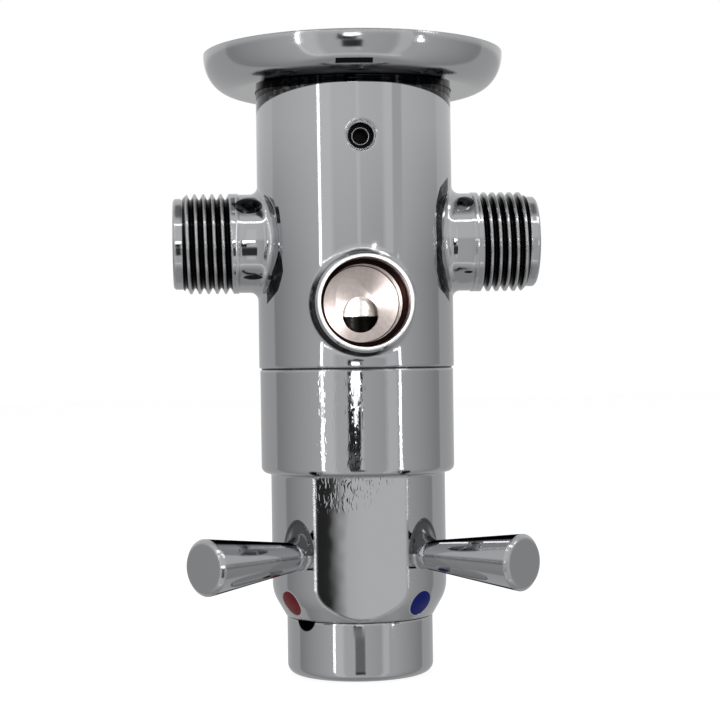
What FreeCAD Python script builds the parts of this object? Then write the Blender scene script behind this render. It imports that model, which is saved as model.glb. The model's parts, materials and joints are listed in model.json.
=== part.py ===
import FreeCAD, Part
import math
import os
import re
import Sketcher

# Thermostatic mixing valve for an exposed shower or tap.
# The frame: the origin is the centre of the fixing socket's mouth, in the plane of the
# surface that the valve hangs from. +Z points into that surface, the outlet and the lever
# arms face -Y, hot water enters at -X and cold water at +X. All sizes are in millimetres,
# and every depth is measured from the origin's plane, away from the surface.

SIZES = {
    # shared fits
    "running_fit": 0.05,
    "seat_gap": 0.05,
    # wall flange
    "flange_radius": 31.4,
    "flange_height": 7.9,
    "flange_edge_run": 6.5,
    "flange_edge_drop": 7.5,
    "flange_wall": 1.2,
    "flange_play": 0.15,
    "flange_hub_wall": 1.6,
    "flange_hub_top": 1.0,
    # valve body
    "body_radius": 20.5,
    "body_length": 65.8,
    "body_edge": 0.3,
    "socket_radius": 11.0,
    "socket_depth": 24.0,
    "cavity_radius": 10.5,
    "cavity_top": 31.0,
    "mouth_radius": 14.0,
    "mouth_rise": 3.8,
    "flange_ring_depth": 3.4,
    "branch_root": 15.0,
    "branch_fillet": 1.7,
    # screw that clamps the valve on its fixing spigot
    "wall_screw_depth": 19.3,
    "wall_screw_radius": 2.5,
    "wall_screw_recess": 2.5,
    "wall_screw_length": 6.8,
    "wall_screw_key": 2.5,
    "wall_screw_key_depth": 2.4,
    "wall_sink_radius": 3.0,
    "wall_sink_depth": 1.0,
    # inlets, with a G 1/2 pipe thread
    "inlet_depth": 39.5,
    "inlet_reach": 38.1,
    "shank_radius": 10.3,
    "thread_radius": 10.48,
    "thread_start": 24.55,
    "thread_end": 36.15,
    "thread_pitch": 1.814,
    "thread_height": 1.162,
    "thread_root_flat": 0.24,
    "thread_crest_flat": 0.34,
    "thread_overcut": 0.1,
    "lead_radius": 9.5,
    "lead_edge": 0.4,
    "inlet_bore_radius": 7.6,
    "inlet_step_radius": 7.0,
    "inlet_step": 22.9,
    "inlet_floor": 18.5,
    "drilling_radius": 2.9,
    "drilling_offset": 3.6,
    # outlet
    "outlet_depth": 52.9,
    "outlet_reach": 27.5,
    "outlet_radius": 10.0,
    "outlet_edge": 0.7,
    "outlet_bore_radius": 8.8,
    "outlet_step_radius": 7.9,
    "outlet_step": 19.5,
    "outlet_floor": 12.6,
    "outlet_port_radius": 3.7,
    "outlet_port_depth": 55.0,
    # strainer and check valve in each inlet
    "strainer_inner": 33.6,
    "strainer_mesh": 0.8,
    "strainer_length": 3.0,
    "strainer_wall": 0.65,
    "strainer_hole_radius": 0.5,
    "strainer_ring_spacing": 1.95,
    "cage_wall": 1.4,
    "cage_end": 1.5,
    "cage_hole_radius": 1.3,
    "cage_hole_circle": 4.3,
    "seat_radius": 4.2,
    "poppet_radius": 5.4,
    "poppet_thickness": 1.5,
    "poppet_stem_radius": 1.0,
    "poppet_stem_end": 24.2,
    "check_coil_radius": 2.6,
    "check_wire_radius": 0.3,
    "check_coil_pitch": 1.1,
    # port sleeve that splits hot from cold
    "sleeve_wall": 1.9,
    "sleeve_end": 46.9,
    "channel_width": 3.4,
    "channel_root": 9.6,
    "window_radius": 1.4,
    "ring_section": 0.6,
    "ring_groove_play": 0.1,
    # shuttle, wax capsule and their springs
    "shuttle_top": 36.6,
    "shuttle_length": 5.8,
    "shuttle_wall": 1.45,
    "shuttle_web_top": 38.8,
    "shuttle_web": 2.0,
    "shuttle_hole_radius": 1.2,
    "shuttle_hole_circle": 5.3,
    "capsule_nose_radius": 2.45,
    "capsule_nose": 2.6,
    "capsule_radius": 4.5,
    "capsule_length": 11.2,
    "capsule_collar_radius": 5.5,
    "capsule_collar": 1.5,
    "capsule_guide_radius": 3.2,
    "capsule_guide": 3.5,
    "piston_radius": 1.2,
    "piston_length": 5.1,
    "return_coil_radius": 5.3,
    "return_wire_radius": 0.5,
    "return_coil_pitch": 1.8,
    # overload spring that lets the capsule over-travel
    "cup_radius": 3.6,
    "cup_top": 61.5,
    "cup_length": 5.0,
    "cup_collar_radius": 5.1,
    "cup_collar_top": 63.25,
    "cup_collar": 1.0,
    "overload_coil_radius": 4.45,
    "overload_wire_radius": 0.35,
    "overload_coil_pitch": 1.25,
    "cup_clip_thickness": 0.55,
    "cup_clip_inner": 4.2,
    # nut that the temperature spindle drives
    "nut_top": 62.6,
    "nut_length": 11.5,
    "nut_well_radius": 5.2,
    "nut_well": 7.0,
    "nut_travel": 0.5,
    "guide_pin_radius": 0.8,
    "guide_pin_inner": 5.4,
    "guide_pin_depth": 71.5,
    # temperature spindle
    "spindle_nose_radius": 2.9,
    "spindle_nose_top": 70.3,
    "spindle_nose_end": 78.0,
    "spindle_radius": 4.0,
    "spindle_collar_top": 95.0,
    "spindle_collar_end": 101.0,
    "spindle_ring_depth": 98.0,
    "spindle_end": 123.5,
    # flow tube that the lever turns
    "drum_top": 47.1,
    "drum_wall": 1.45,
    "drum_land_end": 55.2,
    "drum_waist_radius": 9.7,
    "drum_waist_end": 60.0,
    "drum_end": 61.6,
    "drum_floor": 1.4,
    "drum_window_radius": 3.2,
    "tube_radius": 8.0,
    "tube_wall": 1.4,
    "tube_seat": 101.2,
    "tube_end": 112.6,
    # key between the flow tube and the lever barrel
    "key_width": 2.0,
    "key_inner": 6.7,
    "key_outer": 9.2,
    "key_top": 104.5,
    # bonnet that closes the cavity and carries the lever barrel
    "bonnet_nose_radius": 10.3,
    "bonnet_spigot_radius": 13.9,
    "bonnet_hex_radius": 15.4,
    "bonnet_hex_height": 4.2,
    "bonnet_ring_rise": 1.9,
    "bonnet_ring_section": 0.5,
    "neck_ring_depth": 80.0,
    "neck_root_radius": 13.0,
    "neck_root_end": 74.0,
    "neck_radius": 12.0,
    "neck_step": 90.0,
    "neck_tip_radius": 11.4,
    "neck_end": 97.0,
    "upper_ring_height": 4.0,
    "lower_ring_height": 5.0,
    # quarter-turn stop
    "stop_pin_radius": 1.0,
    "stop_pin_circle": 9.75,
    "stop_pin_root": 6.0,
    "stop_pin_end": 102.0,
    "stop_groove_depth": 2.8,
    "stop_groove_margin": 7.0,
    "lever_swing": 90.0,
    "stop_pin_angle": 110.0,
    # lever barrel
    "barrel_gap": 0.2,
    "barrel_radius": 20.3,
    "barrel_edge": 0.25,
    "barrel_bore_radius": 17.8,
    "barrel_step": 84.0,
    "ledge_depth": 87.7,
    "ledge_round": 1.4,
    "ledge_hollow": 0.5,
    "grip_radius": 18.3,
    "grip_bore_radius": 14.0,
    "web_top": 99.5,
    "web_end": 111.0,
    "rim_depth": 117.5,
    "rim_radius": 15.5,
    "cone_angle": 30.0,
    "cone_blend": 8.0,
    "flat_distance": 15.75,
    "lever_lean": 2.45,
    # lever arms
    "arm_angle": 45.0,
    "arm_depth": 104.1,
    "arm_root": 20.2,
    "arm_root_radius": 3.0,
    "arm_reach": 44.0,
    "arm_tip_radius": 5.6,
    "arm_tip_edge": 0.7,
    "stud_radius": 2.0,
    "stud_inner": 12.6,
    # enamel dots that mark hot and cold
    "hot_dot_angle": 56.0,
    "cold_dot_angle": 44.0,
    "dot_depth": 113.8,
    "dot_radius": 2.75,
    "dot_thickness": 0.8,
    "dot_tool": 3.0,
    # end knob, its screw and its washer
    "knob_radius": 15.3,
    "knob_gap": 0.2,
    "knob_neck_radius": 13.4,
    "knob_top": 111.5,
    "knob_well_radius": 10.4,
    "knob_well_floor": 113.6,
    "knob_end": 129.7,
    "knob_round": 2.0,
    "knob_bore_end": 124.0,
    "knob_screw_angle": 51.0,
    "knob_screw_depth": 117.0,
    "knob_screw_radius": 2.1,
    "knob_screw_length": 5.0,
    "knob_screw_key": 2.0,
    "knob_screw_key_depth": 1.6,
    "washer_radius": 7.0,
    "clip_thickness": 1.0,
    "clip_root": 7.45,
    "clip_radius": 9.4,
    "clip_opening": 50.0,
}

doc = FreeCAD.newDocument("mixing_valve")
sheet = doc.addObject("Spreadsheet::Sheet", "Sizes")
for row, (size_name, size_value) in enumerate(SIZES.items(), 1):
    sheet.set(f"A{row}", size_name)
    sheet.set(f"B{row}", str(size_value))
    sheet.setAlias(f"B{row}", size_name)
doc.recompute()

UP = FreeCAD.Vector(0, 0, 1)
HOT = FreeCAD.Vector(-1, 0, 0)
COLD = FreeCAD.Vector(1, 0, 0)
FRONT = FreeCAD.Vector(0, -1, 0)
NODES = {}


def rule(text):
    """Point every size name in an expression at its cell."""
    return re.sub(r"[a-z_]+", lambda word: f"Sizes.{word[0]}" if word[0] in SIZES else word[0], text)


def value(text):
    """The number that an expression gives with the sheet's present sizes."""
    return float(sheet.evalExpression(rule(text)))


def bind(thing, prop, text):
    thing.setExpression(prop, rule(text))


def aim(thing, direction, x="0", y="0", z="0"):
    """Turn a thing's own Z axis to a direction and bind its place to the sizes."""
    thing.Placement = FreeCAD.Placement(FreeCAD.Vector(), FreeCAD.Rotation(UP, direction))
    for axis, text in (("x", x), ("y", y), ("z", z)):
        bind(thing, f"Placement.Base.{axis}", text)


def keep(node, thing):
    """Name a finished sub-part."""
    thing.Label = node
    NODES[node] = thing
    return thing


def own_sketch(body, role, name):
    sketch = body.newObject("Sketcher::SketchObject", name)
    plane = [item for item in body.Origin.OriginFeatures if item.Role == role][0]
    sketch.AttachmentSupport = [(plane, "")]
    sketch.MapMode = "FlatFace"
    return sketch


def pin_point(sketch, shape_index, end, x, y):
    """Bind one point of a sketch to two expressions."""
    for kind, text in (("DistanceX", x), ("DistanceY", y)):
        if text is None:
            continue
        constraint = Sketcher.Constraint(kind, -1, 1, shape_index, end, value(text))
        number = sketch.addConstraint(constraint)
        bind(sketch, f"Constraints[{number}]", text)


def short_arc(start, stop, centre, reach_x, reach_y):
    """The shorter arc from start to stop about a centre, and whether it runs that way round."""
    if abs(reach_x - reach_y) < 1e-6:
        curve = Part.Circle(centre, UP, reach_x)
    elif reach_y > reach_x:
        curve = Part.Ellipse(centre - FreeCAD.Vector(0, reach_y, 0), centre + FreeCAD.Vector(reach_x, 0, 0), centre)
    else:
        curve = Part.Ellipse(centre + FreeCAD.Vector(reach_x, 0, 0), centre + FreeCAD.Vector(0, reach_y, 0), centre)
    first = curve.parameter(start)
    last = curve.parameter(stop)
    forwards = (last - first) % (2 * math.pi) < math.pi
    if not forwards:
        first, last = last, first
    if last < first:
        last += 2 * math.pi
    if isinstance(curve, Part.Circle):
        return Part.ArcOfCircle(curve, first, last), forwards
    return Part.ArcOfEllipse(curve, first, last), forwards


def draw_outline(sketch, outline):
    """Draw a closed outline. A point is (x, y). A point that ends an arc is (x, y, centre_x,
    centre_y) for a circle, or (x, y, centre_x, centre_y, "ellipse") for a quarter of one."""
    spots = [FreeCAD.Vector(value(point[0]), value(point[1]), 0) for point in outline]
    joints = []
    ellipses = []
    for index, point in enumerate(outline):
        start = spots[index - 1]
        stop = spots[index]
        if len(point) == 2:
            number = sketch.addGeometry(Part.LineSegment(start, stop), False)
            joints.append((number, 1, 2))
            continue
        centre = FreeCAD.Vector(value(point[2]), value(point[3]), 0)
        if len(point) == 5:
            reach_x = max(abs(start.x - centre.x), abs(stop.x - centre.x))
            reach_y = max(abs(start.y - centre.y), abs(stop.y - centre.y))
        else:
            reach_x = reach_y = start.distanceToPoint(centre)
        arc, forwards = short_arc(start, stop, centre, reach_x, reach_y)
        number = sketch.addGeometry(arc, False)
        joints.append((number, 1, 2) if forwards else (number, 2, 1))
        if isinstance(arc, Part.ArcOfEllipse):
            pin_point(sketch, number, 3, point[2], point[3])
            ellipses.append((number, "Vertical" if reach_y > reach_x else "Horizontal"))
        elif abs(start.x - stop.x) < 1e-9:
            pin_point(sketch, number, 3, point[2], None)
        else:
            pin_point(sketch, number, 3, None, point[3])
    for index, (number, first_end, last_end) in enumerate(joints):
        following, next_first, next_last = joints[(index + 1) % len(joints)]
        sketch.addConstraint(Sketcher.Constraint("Coincident", number, last_end, following, next_first))
        pin_point(sketch, number, last_end, outline[index][0], outline[index][1])
    for number, lie in ellipses:
        sketch.exposeInternalGeometry(number)
        long_axis = len(sketch.Geometry) - 4
        sketch.addConstraint(Sketcher.Constraint(lie, long_axis))


def turned(name, outline):
    """A turned piece: an outline of (radius, height) points, revolved about its own Z axis."""
    body = doc.addObject("PartDesign::Body", name)
    sketch = own_sketch(body, "XZ_Plane", f"{name}_outline")
    draw_outline(sketch, outline)
    solid = body.newObject("PartDesign::Revolution", f"{name}_turning")
    solid.Profile = sketch
    solid.ReferenceAxis = (sketch, ["V_Axis"])
    solid.Angle = 360
    sketch.Visibility = False
    doc.recompute()
    return body


def drilled_rings(body, holes, count):
    """Drill through a turned piece along its axis: one hole for each (radius, circle), repeated."""
    sketch = own_sketch(body, "XY_Plane", f"{body.Name}_hole_plan")
    for radius, circle in holes:
        spot = FreeCAD.Vector(value(circle), 0, 0)
        number = sketch.addGeometry(Part.Circle(spot, UP, value(radius)), False)
        pin_point(sketch, number, 3, circle, "0")
        radius_rule = sketch.addConstraint(Sketcher.Constraint("Radius", number, value(radius)))
        bind(sketch, f"Constraints[{radius_rule}]", radius)
    pocket = body.newObject("PartDesign::Pocket", f"{body.Name}_holes")
    pocket.Profile = sketch
    pocket.Type = "ThroughAll"
    pocket.Midplane = True
    doc.recompute()
    pattern = body.newObject("PartDesign::PolarPattern", f"{body.Name}_hole_ring")
    pattern.Originals = [pocket]
    pattern.Axis = (sketch, ["N_Axis"])
    pattern.Angle = 360
    pattern.Occurrences = count
    body.Tip = pattern
    doc.recompute()
    return body


def helix(body, kind, outline, pitch, height):
    """Sweep an outline along a right-hand helix about the body's own Z axis."""
    sketch = own_sketch(body, "XZ_Plane", f"{body.Name}_helix_section")
    if len(outline) == 1:
        centre_x, centre_y, radius = outline[0]
        centre = FreeCAD.Vector(value(centre_x), value(centre_y), 0)
        number = sketch.addGeometry(Part.Circle(centre, UP, value(radius)), False)
        pin_point(sketch, number, 3, centre_x, centre_y)
        radius_rule = sketch.addConstraint(Sketcher.Constraint("Radius", number, value(radius)))
        bind(sketch, f"Constraints[{radius_rule}]", radius)
    else:
        draw_outline(sketch, outline)
    sweep = body.newObject(f"PartDesign::{kind}", f"{body.Name}_helix")
    sweep.Profile = sketch
    sweep.ReferenceAxis = (sketch, ["V_Axis"])
    sweep.Mode = "pitch-height-angle"
    bind(sweep, "Pitch", pitch)
    bind(sweep, "Height", height)
    sketch.Visibility = False
    doc.recompute()
    return body


def coil_spring(name, coil_radius, wire_radius, low, high, pitch):
    """A spring of round wire that stands between two heights."""
    body = doc.addObject("PartDesign::Body", name)
    section = [(coil_radius, f"{low} + {wire_radius}", wire_radius)]
    return helix(body, "AdditiveHelix", section, pitch, f"({high}) - ({low}) - 2 * {wire_radius}")


def rod(name, radius, length, direction=UP, x="0", y="0", z="0"):
    cylinder = doc.addObject("Part::Cylinder", name)
    bind(cylinder, "Radius", radius)
    bind(cylinder, "Height", length)
    aim(cylinder, direction, x, y, z)
    return cylinder


def block(name, length, width, height, x, y, z):
    box = doc.addObject("Part::Box", name)
    for prop, text in (("Length", length), ("Width", width), ("Height", height)):
        bind(box, prop, text)
    aim(box, UP, x, y, z)
    return box


def hexagon(name, flats, length, direction, x, y, z):
    """A six-sided bar with a given distance across its flats."""
    prism = doc.addObject("Part::Prism", name)
    prism.Polygon = 6
    bind(prism, "Circumradius", f"({flats}) / 2 / cos(30 deg)")
    bind(prism, "Height", length)
    aim(prism, direction, x, y, z)
    return prism


def joined(name, pieces):
    fusion = doc.addObject("Part::MultiFuse", name)
    fusion.Shapes = pieces
    doc.recompute()
    return fusion


def cut(name, base, tools):
    """Take one or more tools away from a base."""
    result = doc.addObject("Part::Cut", name)
    result.Base = base
    result.Tool = tools[0] if len(tools) == 1 else joined(f"{name}_tools", tools)
    doc.recompute()
    return result


def rounded(name, base, radius, belongs):
    """Round every edge of a base whose points all pass a test."""
    fillet = doc.addObject("Part::Fillet", name)
    fillet.Base = base
    size = value(radius)
    chosen = []
    for number, edge in enumerate(base.Shape.Edges, 1):
        if all(belongs(point) for point in edge.discretize(9)):
            chosen.append((number, size, size))
    fillet.Edges = chosen
    doc.recompute()
    return fillet


def from_axis(point, direction, centre):
    """Distance of a point from a line."""
    arm = point - centre
    return (arm - direction * arm.dot(direction)).Length


def around(angle_from_front):
    """A level direction at an angle from the front, positive towards the cold side."""
    angle = math.radians(value(angle_from_front))
    return FreeCAD.Vector(math.sin(angle), -math.cos(angle), 0)


def seal_ring(node, section, inner, depth):
    """A round rubber ring whose hole has a given radius."""
    torus = doc.addObject("Part::Torus", node)
    bind(torus, "Radius1", f"{inner} + {section}")
    bind(torus, "Radius2", section)
    aim(torus, UP, z=f"-({depth})")
    return keep(node, torus)


def grub_screw(node, radius, length, key, key_depth, direction, reach, depth):
    """A headless screw along a level direction. Reach is where its keyed end lies."""
    tip = f"({reach}) - ({length})"
    spots = {"x": direction.x, "y": direction.y}
    low = {axis: f"({tip}) * {part:.9f}" for axis, part in spots.items()}
    high = {axis: f"(({reach}) - {key_depth}) * {part:.9f}" for axis, part in spots.items()}
    shank = rod(f"{node}_shank", radius, length, direction, low["x"], low["y"], f"-{depth}")
    socket = hexagon(f"{node}_key", key, f"{key_depth} + 1", direction, high["x"], high["y"], f"-{depth}")
    return keep(node, cut(f"{node}_cut", shank, [socket]))


def wall_flange():
    """A shallow dished cover with a hub that slides on the body."""
    hole = "body_radius + flange_play"
    hub = f"{hole} + flange_hub_wall"
    edge_centre = "flange_radius - flange_edge_run"
    edge_top = "-(flange_height - flange_edge_drop)"
    inside = "-(flange_height - flange_wall)"
    outline = [
        ("flange_radius", "0"),
        ("flange_radius", edge_top),
        (edge_centre, "-flange_height", edge_centre, edge_top, "ellipse"),
        (hole, "-flange_height"),
        (hole, "-flange_hub_top"),
        (hub, "-flange_hub_top"),
        (hub, inside),
        (edge_centre, inside),
        ("flange_radius - flange_wall", edge_top, edge_centre, edge_top, "ellipse"),
        ("flange_radius - flange_wall", "0"),
    ]
    keep("wall_flange", turned("flange", outline))
    seal_ring("flange_o_ring", "ring_section", "body_radius - 2 * ring_section + running_fit", "flange_ring_depth")


def body_casting():
    """The body's outer form: a turned column with two inlet branches and an outlet boss."""
    groove_half = "(ring_section + ring_groove_play)"
    groove_root = "body_radius - 2 * ring_section"
    outline = [
        ("socket_radius", "0"),
        ("body_radius", "0"),
        ("body_radius", f"-flange_ring_depth + {groove_half}"),
        (groove_root, f"-flange_ring_depth + {groove_half}"),
        (groove_root, f"-flange_ring_depth - {groove_half}"),
        ("body_radius", f"-flange_ring_depth - {groove_half}"),
        ("body_radius", "-body_length + body_edge"),
        ("body_radius - body_edge", "-body_length"),
        ("mouth_radius", "-body_length"),
        ("mouth_radius", "mouth_rise - body_length"),
        ("cavity_radius", "mouth_rise - body_length"),
        ("cavity_radius", "-cavity_top"),
        ("0", "-cavity_top"),
        ("0", "-socket_depth"),
        ("socket_radius", "-socket_depth"),
    ]
    column = turned("body_column", outline)
    branches = []
    for side, direction in (("hot", HOT), ("cold", COLD)):
        sign = "-" if side == "hot" else ""
        shank = rod(f"{side}_shank", "shank_radius", "thread_start - branch_root", direction,
                    f"{sign}branch_root", "0", "-inlet_depth")
        branches.append(shank)
    boss = turned("outlet_boss", [
        ("0", "branch_root"),
        ("outlet_radius", "branch_root"),
        ("outlet_radius", "outlet_reach - outlet_edge"),
        ("outlet_radius - outlet_edge", "outlet_reach"),
        ("0", "outlet_reach"),
    ])
    aim(boss, FRONT, z="-outlet_depth")
    casting = joined("body_branches", [column, boss] + branches)
    inlet_centre = FreeCAD.Vector(0, 0, -value("inlet_depth"))
    outlet_centre = FreeCAD.Vector(0, 0, -value("outlet_depth"))

    def at_a_root(point):
        on_column = abs(math.hypot(point.x, point.y) - value("body_radius")) < 0.01
        on_shank = abs(from_axis(point, COLD, inlet_centre) - value("shank_radius")) < 0.01
        on_boss = abs(from_axis(point, FRONT, outlet_centre) - value("outlet_radius")) < 0.01
        return on_column and (on_shank or on_boss)

    return rounded("body_filleted", casting, "branch_fillet", at_a_root)


def threaded_end(side, direction):
    """The outer end of an inlet: a pipe thread and a plain lead-in."""
    body = turned(f"{side}_thread", [
        ("0", "thread_start"),
        ("shank_radius", "thread_start"),
        ("thread_radius", "thread_start"),
        ("thread_radius", "thread_end - thread_radius + lead_radius"),
        ("lead_radius", "thread_end"),
        ("lead_radius", "inlet_reach - lead_edge"),
        ("lead_radius - lead_edge", "inlet_reach"),
        ("0", "inlet_reach"),
    ])
    root = "thread_radius - thread_height"
    outer = "thread_radius + thread_overcut"
    foot = "thread_start + thread_pitch / 2"
    crest_half = "(thread_pitch - thread_crest_flat) / 2"
    growth = f"(1 + thread_overcut / thread_height) * (({crest_half}) - thread_root_flat / 2)"
    wide = f"(thread_root_flat / 2 + {growth})"
    groove = [
        (root, f"{foot} - thread_root_flat / 2"),
        (outer, f"{foot} - {wide}"),
        (outer, f"{foot} + {wide}"),
        (root, f"{foot} + thread_root_flat / 2"),
    ]
    helix(body, "SubtractiveHelix", groove, "thread_pitch", "thread_end - thread_start")
    aim(body, direction, z="-inlet_depth")
    return body


def valve_body():
    casting = body_casting()
    blank = joined("body_blank", [casting, threaded_end("hot", HOT), threaded_end("cold", COLD)])
    tools = []
    for side, direction in (("hot", HOT), ("cold", COLD)):
        sign = "-" if side == "hot" else ""
        lift = "+ drilling_offset" if side == "hot" else "- drilling_offset"
        tools += [
            rod(f"{side}_bore", "inlet_bore_radius", "inlet_reach - inlet_step + 1", direction,
                f"{sign}inlet_step", "0", "-inlet_depth"),
            rod(f"{side}_step", "inlet_step_radius", "inlet_step - inlet_floor + 1", direction,
                f"{sign}inlet_floor", "0", "-inlet_depth"),
            rod(f"{side}_drilling", "drilling_radius", "inlet_floor + 1 - cavity_radius + drilling_radius", direction,
                f"{sign}(cavity_radius - drilling_radius)", "0", f"-inlet_depth {lift}"),
        ]
    tools += [
        rod("outlet_bore", "outlet_bore_radius", "outlet_reach - outlet_step + 1", FRONT,
            "0", "-outlet_step", "-outlet_depth"),
        rod("outlet_step_bore", "outlet_step_radius", "outlet_step - outlet_floor + 1", FRONT,
            "0", "-outlet_floor", "-outlet_depth"),
        rod("outlet_port", "outlet_port_radius", "outlet_floor + 1 - cavity_radius + outlet_port_radius", FRONT,
            "0", "-cavity_radius + outlet_port_radius", "-outlet_port_depth"),
        rod("wall_screw_hole", "wall_screw_radius + running_fit", "body_radius - socket_radius + 2", FRONT,
            "0", "1 - socket_radius", "-wall_screw_depth"),
        rod("wall_screw_sink", "wall_sink_radius", "wall_sink_depth + 1", FRONT,
            "0", "wall_sink_depth - body_radius", "-wall_screw_depth"),
    ]
    keep("valve_body", cut("body_machined", blank, tools))
    grub_screw("wall_grub_screw", "wall_screw_radius", "wall_screw_length", "wall_screw_key",
               "wall_screw_key_depth", FRONT, "body_radius - wall_screw_recess", "wall_screw_depth")


def inlet_fittings(side, direction):
    """Strainer, check valve cage, poppet and spring, built along the inlet's own axis."""
    fit = "inlet_bore_radius - running_fit"
    strainer = turned(f"{side}_strainer", [
        ("0", "strainer_inner"),
        (fit, "strainer_inner"),
        (fit, "strainer_inner + strainer_length"),
        (f"{fit} - strainer_wall", "strainer_inner + strainer_length"),
        (f"{fit} - strainer_wall", "strainer_inner + strainer_mesh"),
        ("0", "strainer_inner + strainer_mesh"),
    ])
    rings = [("strainer_hole_radius", f"strainer_ring_spacing * {ring}") for ring in (1, 2, 3)]
    keep(f"strainer_{side}", drilled_rings(strainer, rings, 12))

    low = "inlet_step + seat_gap"
    high = "strainer_inner - seat_gap"
    cage = turned(f"{side}_cage", [
        ("poppet_stem_radius + running_fit", low),
        (fit, low),
        (fit, high),
        ("seat_radius", high),
        ("seat_radius", f"{high} - cage_end"),
        (f"{fit} - cage_wall", f"{high} - cage_end"),
        (f"{fit} - cage_wall", f"{low} + cage_end"),
        ("poppet_stem_radius + running_fit", f"{low} + cage_end"),
    ])
    sketch_holes = drilled_rings(cage, [("cage_hole_radius", "cage_hole_circle")], 6)
    keep(f"check_cage_{side}", sketch_holes)

    face = f"{high} - cage_end - seat_gap"
    poppet = turned(f"{side}_poppet", [
        ("0", "poppet_stem_end"),
        ("poppet_stem_radius", "poppet_stem_end"),
        ("poppet_stem_radius", f"{face} - poppet_thickness"),
        ("poppet_radius", f"{face} - poppet_thickness"),
        ("poppet_radius", face),
        ("0", face),
    ])
    keep(f"check_poppet_{side}", poppet)
    spring = coil_spring(f"{side}_check_coil", "check_coil_radius", "check_wire_radius",
                         f"{low} + cage_end", f"{face} - poppet_thickness", "check_coil_pitch")
    keep(f"check_spring_{side}", spring)
    for piece in (strainer, cage, poppet, spring):
        aim(piece, direction, z="-inlet_depth")


def port_sleeve():
    """A sleeve in the cavity's blind end, with a ring channel and windows for hot and for cold."""
    outer = "cavity_radius - 2 * running_fit"
    groove_root = "cavity_radius - running_fit - 2 * ring_section - running_fit"
    groove_half = "(ring_section + ring_groove_play)"
    top_ring = "cavity_top + ring_section + 2 * ring_groove_play + seat_gap + 0.4"
    end_ring = "sleeve_end - ring_section - 2 * ring_groove_play - 0.3"
    outline = [("cavity_radius - sleeve_wall", "-(cavity_top + seat_gap)"), (outer, "-(cavity_top + seat_gap)")]
    steps = [
        (top_ring, groove_half, groove_root),
        ("inlet_depth - drilling_offset", "channel_width / 2", "channel_root"),
        ("inlet_depth", groove_half, groove_root),
        ("inlet_depth + drilling_offset", "channel_width / 2", "channel_root"),
        (end_ring, groove_half, groove_root),
    ]
    for middle, half, root in steps:
        outline += [
            (outer, f"-({middle}) + {half}"),
            (root, f"-({middle}) + {half}"),
            (root, f"-({middle}) - {half}"),
            (outer, f"-({middle}) - {half}"),
        ]
    outline += [(outer, "-sleeve_end"), ("cavity_radius - sleeve_wall", "-sleeve_end")]
    sleeve = turned("sleeve", outline)
    windows = []
    for row, sign in (("hot", "-"), ("cold", "+")):
        for number, angle in enumerate((45, 135)):
            across = FreeCAD.Vector(math.cos(math.radians(angle)), math.sin(math.radians(angle)), 0)
            windows.append(rod(f"{row}_window_{number}", "window_radius", "2 * cavity_radius", across,
                               f"-cavity_radius * {across.x:.9f}", f"-cavity_radius * {across.y:.9f}",
                               f"-(inlet_depth {sign} drilling_offset)"))
    keep("port_sleeve", cut("sleeve_windows", sleeve, windows))
    for place, middle in (("top", top_ring), ("middle", "inlet_depth"), ("bottom", end_ring)):
        seal_ring(f"sleeve_o_ring_{place}", "ring_section", f"{groove_root} + running_fit", middle)


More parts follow.
